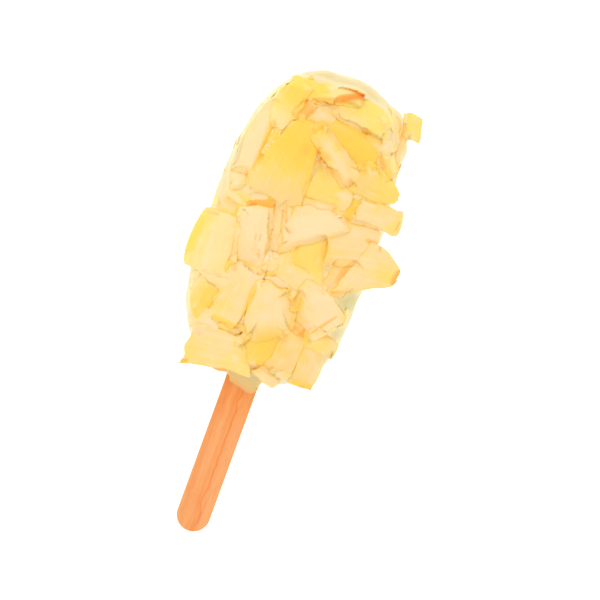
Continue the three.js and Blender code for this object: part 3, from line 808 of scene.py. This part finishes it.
def outline_share(x, y):
    """How far out places lie, where the bar's outline is at 1: the power mean of their shares of
    its half width and of its reach towards its tip or its base."""
    squareness, reach = outline_shape(x, y)
    powers = (abs(x) / HALF_WIDE) ** squareness + (abs(y) / reach) ** squareness
    return np.maximum(powers, 1e-9) ** (1 / squareness)


def edge_ring(grid):
    """The outermost cells of a grid, in order round it."""
    return np.concatenate([grid[:-1, 0], grid[-1, :-1], grid[:0:-1, -1], grid[0, :0:-1]])


def skins(flake, tone, nook, zones, marks=()):
    """A flake's points, quads, tints and places in the pattern, for its mesh. A flake that lies in
    zones gets the crevices' painted shade as well. The marks are its own."""
    deep = nook(flake.top, flake.plate.out)
    tint = flake.tint(tone, zones, deep)
    # A flake of the front also gets the crevices' painted shade, stronger in its nooks.
    if zones:
        tint = crevice_shaded(tint, flake.top, deep)
    tint = blush(tint, flake.top, marks)
    points, quads = sewn_sheets(flake.top, flake.bottom, flake.rim)
    rim = toned(edge_ring(tint), "golden", np.array(0.7))
    tints = np.concatenate([tint.reshape(-1, 3), tint.reshape(-1, 3), rim])
    flat = flake.flat
    uv = np.concatenate([flat.reshape(-1, 2), flat.reshape(-1, 2) + 40, edge_ring(flat)]) / 10
    return points, quads, tints, uv + rng.uniform(0, 30, 2)


def make_flake(name, slot, flake, nook, material):
    """One flake's mesh, in place of its plate."""
    zones = ZONES if name.startswith("front") else []
    skin = skins(flake, TONE_OF_SLOT[slot], nook, zones, MARKS.get(front_number(name), []))
    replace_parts(make_piece(name.replace("_flake", "_coconut"), material, slot, *skin), name)


def joined(parts):
    """The points, quads, tints and pattern places of many parts as those of one."""
    points, quads, tints, uvs = zip(*parts)
    starts = np.cumsum([0] + [len(p) for p in points[:-1]])
    quads = [q + start for q, start in zip(quads, starts)]
    return tuple(np.concatenate(arrays) for arrays in (points, quads, tints, uvs))


# Small flakes between the large ones of the front: x, y, turn, long, wide and tone. The orange one at
# 10.8, 22.6 is painted shade in a recess.
SHAVINGS = [
    (-19.5, 28.2, -14, 10, 4.6, "fair"), (-15.6, 72, 78, 9, 2.6, "golden"),
    (-5, 56.2, 60, 5, 2.6, "peach"), (15.6, 66.8, -8, 10, 3.4, "cream"),
    (7.4, 60.8, 12, 5, 2.4, "fair"), (0.2, 70.6, 74, 8, 3, "peach"), (3.8, 70.2, -36, 7, 2.4, "cream"),
    (13.4, 84.6, 10, 6, 2.6, "peach"), (-2.6, 81.2, 20, 6, 3, "peach"),
    (16.6, 58.4, 6, 7, 2.4, "cream"), (13.4, 37.8, 30, 5, 2.6, "peach"),
    (-10, 16.4, -8, 9, 2.4, "golden"), (-3.4, 15.6, 66, 6, 2.4, "yellow"),
    # The orange shaving on this line is painted shade in the recess under its neighbours.
    (13.6, 14.6, 84, 10, 2, "cream"), (10.8, 22.6, -42, 5, 3, "orange"), (0.8, 8.4, 12, 6, 3, "cream"),
    (12, 8.2, 34, 5, 2.4, "peach"), (-5.4, 88, 6, 8, 2.4, "peach"), (-18.6, 50.2, 70, 5, 2.2, "cream"),
    (-16, 34, 80, 6, 2, "golden"), (-7.4, 80, 74, 5, 2, "orange"), (19.4, 67, 10, 6, 2.6, "fair"),
    (11.6, 72.6, 40, 6, 2.4, "yellow"), (-21, 63, 40, 4, 2, "fair"), (1, 36.6, -8, 15, 8, "fair"),
    (-7, 37.6, 40, 8, 4, "cream"), (9, 37, -20, 9, 5, "cream"), (-16.4, 41, 88, 9, 4, "peach"),
    (-2.6, 49, 80, 10, 3, "fair"),
]
# The same, wedged in higher among the topmost flakes and at the brim.
WEDGED = [
    (0.6, 34.8, -17, 11, 4.6, "fair"), (6.2, 31, -64, 7, 3.6, "yellow"),
    (17.4, 25.4, 42, 9, 3.6, "cream"), (17, 89, -60, 9, 5.5, "fair"),
    (18.6, 84.6, -72, 8, 4.6, "cream"),
]
# How thick all the small flakes are, and how deep they are sunk into what they lie on: the named
# ones, the wedged ones, those by chance on the front, from and to, and those on the sides.
SHAVING_THICK = 0.45
SUNK, SUNK_WEDGED, SUNK_BY_CHANCE, SUNK_ON_SIDES = 0.2, 0.5, (0.4, 0.65), 0.25
# Parts of the front where the coating is bare, as x, y to x, y.
BARE = [(-30, 46, -18, 61), (16, 20, 30, 39), (-30, 8, -10, 17), (-30, 88, -17, 100), (0, 0, 30, 9)]
# How many small flakes there are by chance on the front and on the sides, and which share of
# the front's has each tone.
FRONT_COUNT, SIDE_COUNT = 50, 24
FRONT_TONES = {"cream": 0.4, "fair": 0.15, "yellow": 0.2, "peach": 0.15, "golden": 0.1}
SIDE_TONES = ["cream", "yellow", "peach", "fair"]


def apart(places, count, gap):
    """The numbers of up to count places, drawn by chance, each at least gap from the others."""
    chosen = []
    for k in rng.permutation(len(places)):
        if all(np.linalg.norm(places[k] - places[c]) > gap for c in chosen):
            chosen.append(k)
        if len(chosen) == count:
            break
    return np.array(chosen)


def in_bare(points):
    """Whether each point lies in one of the bare places."""
    x, y = points[:, :1], points[:, 1:2]
    x1, y1, x2, y2 = np.array(BARE).T
    return ((x >= x1) & (x <= x2) & (y >= y1) & (y <= y2)).any(1)


def named_shavings(rows, points, normals, sunk):
    """The small flakes of a list of rows, laid from above on the points of a surface."""
    for x, y, turn, long, wide, tone in rows:
        place = np.array([x, y, STICK_Z + HALF_THICK + 1])
        plate = Plate.on(points, normals, place, turn, long, wide)
        plate.bend[0] -= sunk
        yield tone, Flake(plate)


def front_shavings(coating, cover):
    """The small flakes named above, others by chance wherever the coating still shows between the
    large ones, apart from the places that are bare, and the wedged ones on top of them all."""
    points = coating.points
    yield from named_shavings(SHAVINGS, points, coating.out, SUNK)
    y = points[:, 1]
    shows = (coating.out[:, 2] > 0.75) & (y > 8) & (y < 94) & ~np.isfinite(cover.at(points))
    places = points[shows & ~in_bare(points)]
    for place in places[apart(places, FRONT_COUNT, 4)]:
        turn, long, wide = rng.uniform(0, 180), rng.uniform(7, 11), rng.uniform(4, 6.5)
        plate = Plate.on(points, coating.out, place, turn, long, wide)
        plate.bend[0] -= rng.uniform(*SUNK_BY_CHANCE)
        tone = rng.choice(list(FRONT_TONES), p=list(FRONT_TONES.values()))
        yield tone, Flake(plate)
    over = cover.at(points)
    raised = points.copy()
    raised[:, 2] = np.where(np.isfinite(over) & (coating.out[:, 2] > 0.3), over, points[:, 2])
    yield from named_shavings(WEDGED, raised, coating.out, SUNK_WEDGED)


def side_shavings(coating):
    """Small flakes round the bar's sides, some way above the surface that it lies on."""
    x, y, z = coating.points.T
    clear = (abs(coating.out[:, 2]) < 0.7) & (z > 5) & (abs(z - STICK_Z) > 3) & (y > 9) & (y < 92)
    places = coating.points[clear]
    for place in places[apart(places, SIDE_COUNT, 7)]:
        turn, long, wide = rng.uniform(0, 180), rng.uniform(4, 7), rng.uniform(2.4, 4)
        plate = Plate.on(coating.points, coating.out, place, turn, long, wide)
        plate.bend[0] -= SUNK_ON_SIDES
        yield rng.choice(SIDE_TONES), Flake(plate)


def make_shavings(name, shavings, nook, zones, material):
    """Many small flakes as one mesh."""
    parts = [skins(flake, tone, nook, zones) for tone, flake in shavings]
    make_piece(name, material, "flake_pale", *joined(parts))


# How many crumbs lie on the front and as many on the sides, which share of them has each tone,
# and how long, wide and thick the smallest and the largest are.
CRUMB_COUNT = 50
CRUMB_TONES = {"cream": 0.36, "fair": 0.22, "yellow": 0.18, "golden": 0.12, "peach": 0.12}
SMALLEST_CRUMB, LARGEST_CRUMB = (0.6, 0.4, 0.3), (2.4, 1.0, 0.6)


def make_crumbs(name, points, normals, sizes, material):
    """Crumbs on a surface at the points, of the sizes long, wide and thick. A crumb is a loft of
    four rounded boxes, the outer two smaller, its corners uneven by chance."""
    count, around = len(points), 8
    angle = np.linspace(0, 2 * np.pi, around, endpoint=False)
    ring = np.stack([power(np.cos(angle), 3), power(np.sin(angle), 3), np.zeros(around)], -1)
    levels, shares = np.array([1, 0.5, -0.5, -1]), np.array([0.6, 1, 1, 0.6])
    unit = ring * shares[:, None, None] + np.array([0, 0, 1]) * levels[:, None, None]
    local = unit * rng.uniform(0.72, 1.2, (count, 4, around, 1)) * sizes[:, None, None] / 2
    local[..., 2] += 0.3 * sizes[:, None, None, 2]
    way = np.cross(normals, rng.normal(size=normals.shape))
    way /= np.linalg.norm(way, axis=-1, keepdims=True)
    axes = np.stack([way, np.cross(normals, way), normals], 1)
    placed = points[:, None, None] + np.einsum("cnai,cij->cnaj", local, axes)
    quads = lofted(unit)[1] + 4 * around * np.arange(count)[:, None, None]
    palette = np.array([TONES[tone] for tone in CRUMB_TONES])
    tint = palette[rng.choice(len(palette), count, p=list(CRUMB_TONES.values()))]
    tint = np.broadcast_to(tint[:, None, None], placed.shape).reshape(-1, 3)
    uv = (local[..., :2] / 10 + rng.uniform(0, 30, (count, 1, 1, 2))).reshape(-1, 2)
    placed, quads = placed.reshape(-1, 3), quads.reshape(-1, 4)
    make_piece(name, material, "flake_pale", placed, quads, tint, uv)


# ---------------------------------------------------------------- what lies over the coating

# A flake's grid is this fine, and the heights over a face of the bar are kept in these cells.
FLAKE_CELL = 0.27
CELL = 1.25 * FLAKE_CELL
CORNER, SPAN = np.array([-42.0, -12.0]), np.array([84.0, 124.0])


class Heights:
    """Heights over a grid of cells, out of one face of the bar: side is 1 for its front and -1
    for its back. Where nothing lies the height is empty, an infinity."""

    def __init__(self, side, empty):
        self.side = side
        self.field = np.full((SPAN / CELL).astype(int), empty)

    def places(self):
        """The middle of each cell."""
        i, j = np.indices(self.field.shape)
        return CORNER + (np.stack([i, j], -1) + 0.5) * CELL

    def lay(self, points, keep):
        """Keeps the highest or the lowest of what is there and the points, as keep says."""
        i, j = np.moveaxis(((points[..., :2] - CORNER) / CELL).astype(int), -1, 0)
        keep.at(self.field, (i, j), self.side * points[..., 2])

    def at(self, points):
        """The height at each point, blended from the four cells round it."""
        place = (points[..., :2] - CORNER) / CELL - 0.5
        i, j = np.moveaxis(place.astype(int), -1, 0)
        u, v = np.moveaxis(place - place.astype(int), -1, 0)
        f = self.field
        near = f[i, j] * (1 - u) + f[i + 1, j] * u
        far = f[i, j + 1] * (1 - u) + f[i + 1, j + 1] * u
        return near * (1 - v) + far * v


def softened(field, reach):
    """Averages each cell with its neighbours, over about the reach in millimetres."""
    for _ in range(max(1, round((reach / CELL) ** 2))):
        around = sum(np.roll(field, way, axis) for way in (1, -1) for axis in (0, 1))
        field = (field * 2 + around) / 6
    return field


def filled(field, times):
    """Gives empty cells the mean of their neighbours that aren't, over and over."""
    for _ in range(times):
        there = np.isfinite(field)
        value = np.where(there, field, 0)
        count, total = (
            sum(np.roll(part, way, axis) for way in (1, -1) for axis in (0, 1))
            for part in (there.astype(float), value)
        )
        field = np.where(there | (count == 0), field, total / np.maximum(count, 1))
    return field


class Nooks:
    """How far points lie below the average of what stands round them, in millimetres."""

    def __init__(self, tops):
        self.walls = Heights(tops.side, 0.0)
        there = np.isfinite(tops.field)
        share = softened(there.astype(float), 0.8)
        total = softened(np.where(there, tops.field, 0), 0.8)
        self.walls.field = total / np.maximum(share, 0.01)

    def __call__(self, points, out=None):
        """With the directions out of the points, only those that face out of this side count."""
        below = self.walls.at(points) - self.walls.side * points[..., 2]
        return below if out is None else below * step_up(self.walls.side * out[..., 2], 0.4, 0.8)


# ---------------------------------------------------------------- the bar's coating


def power(value, squareness):
    """A sine or cosine to the power 2 / squareness, its sign kept, which turns a circle at 2 into
    a rounded box above it."""
    return np.sign(value) * abs(value) ** (2 / squareness)


def bar_surface(steps):
    """The bar: a square sheet over its front and one over its back, sewn at their rim. The point
    (a, b) of a sheet lies on the square ring r = max(|a|, |b|). Its place round the ring is the
    angle on the outline, two rounded boxes that meet at the widest place, and r says how far out
    it is and how high, round a quarter of a third rounded box."""
    line = np.linspace(-1, 1, 2 * steps + 1)
    a, b = np.meshgrid(line, line, indexing="ij")
    r = np.maximum(abs(a), abs(b))
    sa, sb = a / np.maximum(r, 1e-9), b / np.maximum(r, 1e-9)
    eighths = np.select(
        [(abs(a) >= abs(b)) & (a > 0), (abs(b) > abs(a)) & (b > 0), abs(a) >= abs(b)],
        [sb, 2 - sa, 4 - sb], 6 + sa,
    )
    angle = eighths * np.pi / 4
    squareness, reach = outline_shape(np.cos(angle), np.sin(angle))
    over = (1 - r**1.5) * np.pi / 2
    share = power(np.cos(over), EDGE_SQUARENESS)
    x = ASIDE + share * HALF_WIDE * power(np.cos(angle), squareness)
    y = MIDDLE + share * reach * power(np.sin(angle), squareness)
    rise = HALF_THICK * power(np.sin(over), EDGE_SQUARENESS)
    front = np.stack([x, y, STICK_Z + rise], -1)
    back = np.stack([x, y, STICK_Z - rise], -1)
    return front, back, r


def normals_of(points, quads):
    """Unit normals at the points: the crossed diagonals of the quads round each, added up."""
    a, b, c, d = (points[corner] for corner in quads.T)
    crossed = np.cross(c - a, d - b)
    total = np.zeros_like(points)
    for corner in quads.T:
        np.add.at(total, corner, crossed)
    return total / np.linalg.norm(total, axis=-1, keepdims=True)


# How far the coating between flakes stays below their tops, and rises over them where it has run.
BELOW_BRIM, OVER_BRIM = 0.2, 0.25
# Where the coating has run over the flakes: from x, y to x, y, and its reach.
RUN_OVER = [
    (-22, 95, -9, 95.5, 3.2), (-9, 95.8, 5, 96.5, 2.6), (5, 96, 15, 93, 2.4), (-24, 84, -23, 92, 2.4),
    (18, 80, 19, 90, 1.6), (-20, 11, -15, 15.4, 2.4), (6, 7, 14, 8.5, 2.4), (20, 14, 21.5, 20, 2.0),
    (-24.5, 62, -25, 74, 1.6), (-22, 29, -17, 29.5, 1.4),
]
# Where the coating bulges out at the side to hold the flake that stands out there.
BULGE, BULGE_DEEP = (16.5, 91, 20, 83.5, 4.5), 2.6


def rise_under(lowest, highest, points):
    """How far the coating rises at each point to hold the flakes over it. Under a flake it meets
    the lowest underside, unless that stands too high. Between flakes it comes nearly up to their
    tops, and past the last of them it runs out."""
    surface = Heights(lowest.side, -np.inf)
    surface.lay(points, np.maximum)
    ground = filled(surface.field, 3)
    there = np.isfinite(ground)
    ground = np.where(there, ground, 0)
    covered = np.isfinite(lowest.field) & there
    gap = np.where(covered, lowest.field, 0) - ground
    rise = np.where(covered, np.clip(gap, 0, 3.5) * bridged(gap), 0)
    brim = np.where(covered, np.clip(highest.field - BELOW_BRIM - ground, 0, 6), 0)
    weight = softened(covered.astype(float), 1.5)
    spread = softened(brim, 1.5) / np.maximum(weight, 0.02) * step_up(weight, 0.04, 0.6)
    rise = np.where(covered, rise, spread)
    if lowest.side > 0:
        for where in RUN_OVER:
            near = nearness(lowest.places(), *where)
            over = np.where(covered, np.clip(highest.field + OVER_BRIM - ground, 0, 5), rise)
            rise = rise + near * softened(over - rise, 0.5)
    result = Heights(lowest.side, 0.0)
    result.field = softened(rise, 0.35)
    return result.at(points)


# How finely the bar is made, and the marks on its coating's upper side.
BAR_STEPS = 110
COATING_MARKS = [
    ("greenish", 21, 31, 22, 36, 5, 0.9), ("cream", -18, 13, -14, 13, 3.5, 0.7),
    ("cream", 20, 14, 20, 20, 3.5, 0.6), ("cream", 15, 87, 18, 77, 3.5, 0.8),
]


class Coating:
    """The coating: the bar's surface, lumpy, and risen under the flakes that stick in it."""

    def __init__(self, lowest, highest):
        front, back, r = bar_surface(BAR_STEPS)
        size = r.shape[0]
        over = np.arange(size * size).reshape(size, size)
        inner = r < 1 - 1e-9
        under = over.copy()
        under[inner] = size * size + np.arange(inner.sum())
        self.points = np.concatenate([front.reshape(-1, 3), back[inner]])
        self.quads = np.concatenate([grid_quads(over), turned_over(grid_quads(under))])
        self.out = normals_of(self.points, self.quads)
        lumps = 0.2 * swell(self.points, 11, 14) + 0.07 * swell(self.points, 3.5, 14) - 0.25
        upright = 1 - abs(self.out[:, 2])
        lumps += BULGE_DEEP * upright * nearness(self.points, *BULGE)
        self.points += self.out * lumps[:, None]
        for side in (1, -1):
            faces = step_up(side * self.out[:, 2], 0.15, 0.6)
            self.points[:, 2] += side * faces * rise_under(lowest[side], highest[side], self.points)
        self.points[:, 2] = np.maximum(self.points[:, 2], 0.3)
        self.out = normals_of(self.points, self.quads)

    def mesh(self, nooks, material):
        """The coating's mesh. nooks are the front's and then the back's."""
        points = self.points
        tint = np.broadcast_to(TONES["coating"], points.shape)
        tint = toned(tint, "greenish", 0.1 + 0.1 * swell(points, 25))
        rim = step_up(outline_share(points[:, 0] - ASIDE, points[:, 1] - MIDDLE), 0.82, 0.96)
        crust = (1 - rim) * step_up(abs(self.out[:, 2]), 0.2, 0.6)
        tint = toned(tint, "cream", 0.9 * crust + 0.12 * swell(points, 12))
        above = step_up(points[:, 2], STICK_Z - 4, STICK_Z + 6)
        tint = mixed(tint, blush(tint, points, COATING_MARKS), above)
        # Painted shade in the nooks of the front and the back: golden, and orange where they are deep.
        for nook in nooks:
            deep = nook(points, self.out)
            tint = toned(tint, "golden", 0.8 * step_up(deep, 0.05, 0.5))
            tint = toned(tint, "orange", 0.4 * step_up(deep, 0.6, 2))
        # Then the crevices' painted shade, stronger in the front's nooks.
        tint = crevice_shaded(tint, points, nooks[0](points, self.out))
        return make_piece("coating", material, "coating", points, self.quads, tint)


COLLAR_SQUARENESS = 5.0
# Half width and half thickness of the collar at each Y, from inside the bar to its lip.
COLLAR_Y = np.array([11.0, 8.5, 7.0, 5.6, 4.4, 3.2, 2.2])
COLLAR_WIDE = np.array([13.0, 10.6, 8.8, 7.2, 6.1, 5.5, 5.15])
COLLAR_THICK = np.array([8.0, 6.2, 4.6, 3.2, 2.1, 1.4, 1.12])
# The same where the lip has turned in to the wood.
TURNED_IN_WIDE, TURNED_IN_THICK = 4.6, 0.7


def make_collar(material):
    """The coating's collar: rounded boxes lofted along the stick, down to a lip that runs lower
    on one side of the stick's faces and turns in to the wood."""
    steps, around = 60, 160
    angle = np.linspace(0, 2 * np.pi, around, endpoint=False)
    v = np.linspace(0, 1, steps)[:, None]
    across, up = power(np.cos(angle), COLLAR_SQUARENESS), power(np.sin(angle), COLLAR_SQUARENESS)
    end = 1.2 - 1.5 * step_up(across, -0.6, 0.9) * abs(up) ** 2 + 0.2 * ripple(across * 5 + up, 6)
    end += 0.6 * step_up(abs(across), 0.9, 1.0)
    start = COLLAR_Y[0]
    y = start + (end - start) * v
    stretched_y = start + (COLLAR_Y[-1] - start) * np.minimum(v / 0.8, 1)
    wide = np.interp(-stretched_y, -COLLAR_Y, COLLAR_WIDE)
    thick = np.interp(-stretched_y, -COLLAR_Y, COLLAR_THICK)
    tucked = np.sqrt(np.clip(1 - ((v - 0.9) / 0.1).clip(0, 1) ** 2, 0, 1))
    wide = TURNED_IN_WIDE + (wide - TURNED_IN_WIDE) * tucked
    thick = TURNED_IN_THICK + (thick - TURNED_IN_THICK) * tucked
    rings = np.stack([wide * across, y * np.ones_like(across), STICK_Z - thick * up], -1)
    points, quads = lofted(rings)
    points[:, 2] += 0.06 * swell(points, 3)
    tint = np.broadcast_to(TONES["beige"], points.shape)
    tint = toned(tint, "greenish", 0.3 + 0.3 * swell(points, 4))
    lip = np.repeat(v, around, 1).reshape(-1)
    tint = toned(tint, "peach", 0.5 * step_up(lip, 0.55, 0.8))
    tint = toned(tint, "damp birch", 0.7 * step_up(lip, 0.82, 1.0))
    make_piece("collar", material, "coating", points, quads, tint)


# ---------------------------------------------------------------- the stick

# How far the stick's edges are rounded. A ring of points on each face, so many roundings in from
# the edge, keeps its shading flat.
ROUNDING, RING_IN = 0.45, 2.2
# Near the bar the wood is damp, more and more from the first Y to the second.
DAMP_Y, DAMP = (-16, 2), 0.8


def make_stick(material):
    """The stick: its stadium outline at the levels of its edge's rounding, from one face to the
    other, each drawn in by the rounding, and the two faces closed straight across."""
    half_wide = (STICK_HIGH[0] - STICK_LOW[0]) / 2
    half_thick = (STICK_HIGH[2] - STICK_LOW[2]) / 2
    reach = (STICK_HIGH[1] - STICK_LOW[1]) / 2 - half_wide
    middle = (STICK_HIGH[1] + STICK_LOW[1]) / 2 - START[1]
    arc, straight = 41, 60
    turn = np.linspace(0, np.pi, arc)
    ways = np.concatenate([turn, turn + np.pi])
    spine = np.concatenate([np.full(arc, reach), np.full(arc, -reach)])
    corner = np.linspace(0, np.pi / 2, 6)
    drawn_in = ROUNDING * np.append(RING_IN, 1 - np.sin(corner))
    levels = half_thick - ROUNDING + ROUNDING * np.cos(np.append(0, corner))
    drawn_in = np.concatenate([drawn_in, drawn_in[::-1]])
    levels = np.concatenate([levels, -levels[::-1]])
    radius = half_wide - drawn_in[:, None]
    x = radius * np.cos(ways)
    y = middle + spine + radius * np.sin(ways)
    z = STICK_Z + levels[:, None] * np.ones_like(x)
    rings = np.stack([x, y, z], -1)
    sides = np.linspace(0, 1, straight)[1:-1, None, None]
    left = rings[:, arc - 1] + (rings[:, arc] - rings[:, arc - 1]) * sides
    right = rings[:, -1] + (rings[:, 0] - rings[:, -1]) * sides
    left, right = left.swapaxes(0, 1), right.swapaxes(0, 1)
    rings = np.concatenate([rings[:, :arc], left, rings[:, arc:], right], 1)
    points, quads = lofted(np.roll(rings, -(arc // 2), 1))
    tint = np.broadcast_to(TONES["birch"], points.shape)
    tint = toned(tint, "damp birch", DAMP * step_up(points[:, 1], *DAMP_Y))
    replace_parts(make_piece("birch_stick", material, "wood", points, quads, tint), "stick")


# ---------------------------------------------------------------- the whole lolly

finishes = {
    "flake_pale": coconut("pale coconut", 0.45),
    "flake_golden": coconut("golden coconut", 0.5),
    "flake_peach": coconut("peach coconut", 0.45),
    "flake_skin": coconut("coconut skin", 0.35),
}
flakes = {}
under = {side: Heights(side, np.inf) for side in (1, -1)}
tops = {side: Heights(side, -np.inf) for side in (1, -1)}
for row in frame["record"]["subparts"]:
    node = row["node"]
    if "_flake_" in node:
        flake = Flake(Plate.of_frame(node), growth(node))
        flakes[node] = (row["material_slot"], flake)
        side = 1 if node.startswith("front") else -1
        if front_number(node) in TUCKED:
            flake.tuck_in()
        if node.startswith(("front", "back_")):
            flake.fold_edges(tops[side])
        under[side].lay(flake.bottom, np.minimum)
        tops[side].lay(flake.top, np.maximum)

coating = Coating(under, tops)
in_front, on_sides = list(front_shavings(coating, tops[1])), list(side_shavings(coating))
for side, top in tops.items():
    top.lay(coating.points, np.maximum)
for tone, flake in in_front:
    tops[1].lay(flake.top, np.maximum)
nooks = {side: Nooks(top) for side, top in tops.items()}

for name, (slot, flake) in flakes.items():
    make_flake(name, slot, flake, nooks[1 if name.startswith("front") else -1], finishes[slot])
make_shavings("front_shavings", in_front, nooks[1], ZONES, finishes["flake_pale"])
make_shavings("side_shavings", on_sides, nooks[1], [], finishes["flake_pale"])

coating_material = coating_finish()
coating_piece = coating.mesh([nooks[1], nooks[-1]], coating_material)
make_collar(coating_material)
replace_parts(coating_piece, "coated_bar")


def scatter_crumbs():
    """Crumbs: in the hollows among the front's flakes, and on the sides, away from the widest
    place and from the surface that the lolly lies on."""
    points, out = coating.points, coating.out
    clear = (points[:, 1] > 7) & (points[:, 1] < TIP - 3)
    inner = outline_share(points[:, 0] - ASIDE, points[:, 1] - MIDDLE) < 0.9
    hollow = clear & inner & (out[:, 2] > 0.3) & (nooks[1](points) > 0.1)
    hollow &= ~np.isfinite(under[1].at(points)) & ~in_bare(points)
    upright = clear & (abs(out[:, 2]) < 0.7) & (points[:, 2] > 5)
    upright &= abs(points[:, 2] - STICK_Z) > 4
    for name, there in (("front_crumbs", hollow), ("side_crumbs", upright)):
        chosen = rng.choice(np.flatnonzero(there), CRUMB_COUNT, replace=False)
        sizes = rng.uniform(SMALLEST_CRUMB, LARGEST_CRUMB, (CRUMB_COUNT, 3))
        make_crumbs(name, points[chosen], out[chosen], sizes, finishes["flake_pale"])


scatter_crumbs()
make_stick(birch_finish())


# ---------------------------------------------------------------- floor, light and camera

# The floor reaches this far each way in metres, is of this grey, and glows this much.
FLOOR_HALF, FLOOR_GREY, FLOOR_GLOW = 1.5, (0.9, 0.9, 0.9, 1), 0.5
# How bright the surround is, and the soft lamp's place in metres, its width and its watts.
LIGHT, SURROUND = (1.0, 1.0, 1.0, 1), 0.95
LAMP_PLACE, LAMP_WIDE, LAMP_WATTS = (-0.38, 0.42, 0.62), 0.5, 1


def make_floor():
    """A plain pale floor: one flat square."""
    low, high = -FLOOR_HALF, FLOOR_HALF
    corners = [(low, low, 0), (high, low, 0), (high, high, 0), (low, high, 0)]
    mesh = bpy.data.meshes.new("floor")
    mesh.from_pydata(corners, [], [(0, 1, 2, 3)])
    floor = in_scene("floor", mesh)
    material = bpy.data.materials.new("pale floor")
    material.use_nodes = True
    feed(material.node_tree.nodes["Principled BSDF"], {
        "Base Color": FLOOR_GREY, "Roughness": 0.9,
        "Emission Color": LIGHT, "Emission Strength": FLOOR_GLOW,
    })
    mesh.materials.append(material)
    floor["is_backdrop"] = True


def make_light():
    """Even studio light: a bright surround, and one large soft lamp high over the left shoulder."""
    world = bpy.data.worlds.new("studio")
    world.use_nodes = True
    feed(world.node_tree.nodes["Background"], {"Color": LIGHT, "Strength": SURROUND})
    bpy.context.scene.world = world
    lamp = bpy.data.lights.new("soft lamp", "AREA")
    lamp.shape, lamp.size, lamp.energy = "DISK", LAMP_WIDE, LAMP_WATTS
    holder = in_scene("soft lamp", lamp)
    holder.location = LAMP_PLACE
    holder.rotation_euler = (-holder.location).to_track_quat("-Z", "Y").to_euler()


# The camera looks straight down from this far above the middle of its frame, which takes in this
# width. The lolly leans clockwise in it by this many degrees.
LEAN, FRAME_WIDE, DISTANCE = 20.05, 600 / 3.4, 1400.0
FRAME_MIDDLE = np.array([7.81, 31.32, 20.0])


def make_camera():
    lens = bpy.data.cameras.new("camera")
    lens.sensor_width = 36
    lens.lens = lens.sensor_width * DISTANCE / FRAME_WIDE
    lens.clip_end = 10
    camera = in_scene("camera", lens)
    camera.location = (FRAME_MIDDLE + START + [0, 0, DISTANCE]) * MM
    camera.rotation_euler = (0, 0, np.radians(LEAN))
    bpy.context.scene.camera = camera


make_floor()
make_light()
make_camera()
bpy.context.scene.view_settings.view_transform = "Standard"

boxes = {"cad": CAD_BOX, "visual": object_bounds()}
sizes = {name: [[float(v) for v in corner] for corner in box] for name, box in boxes.items()}
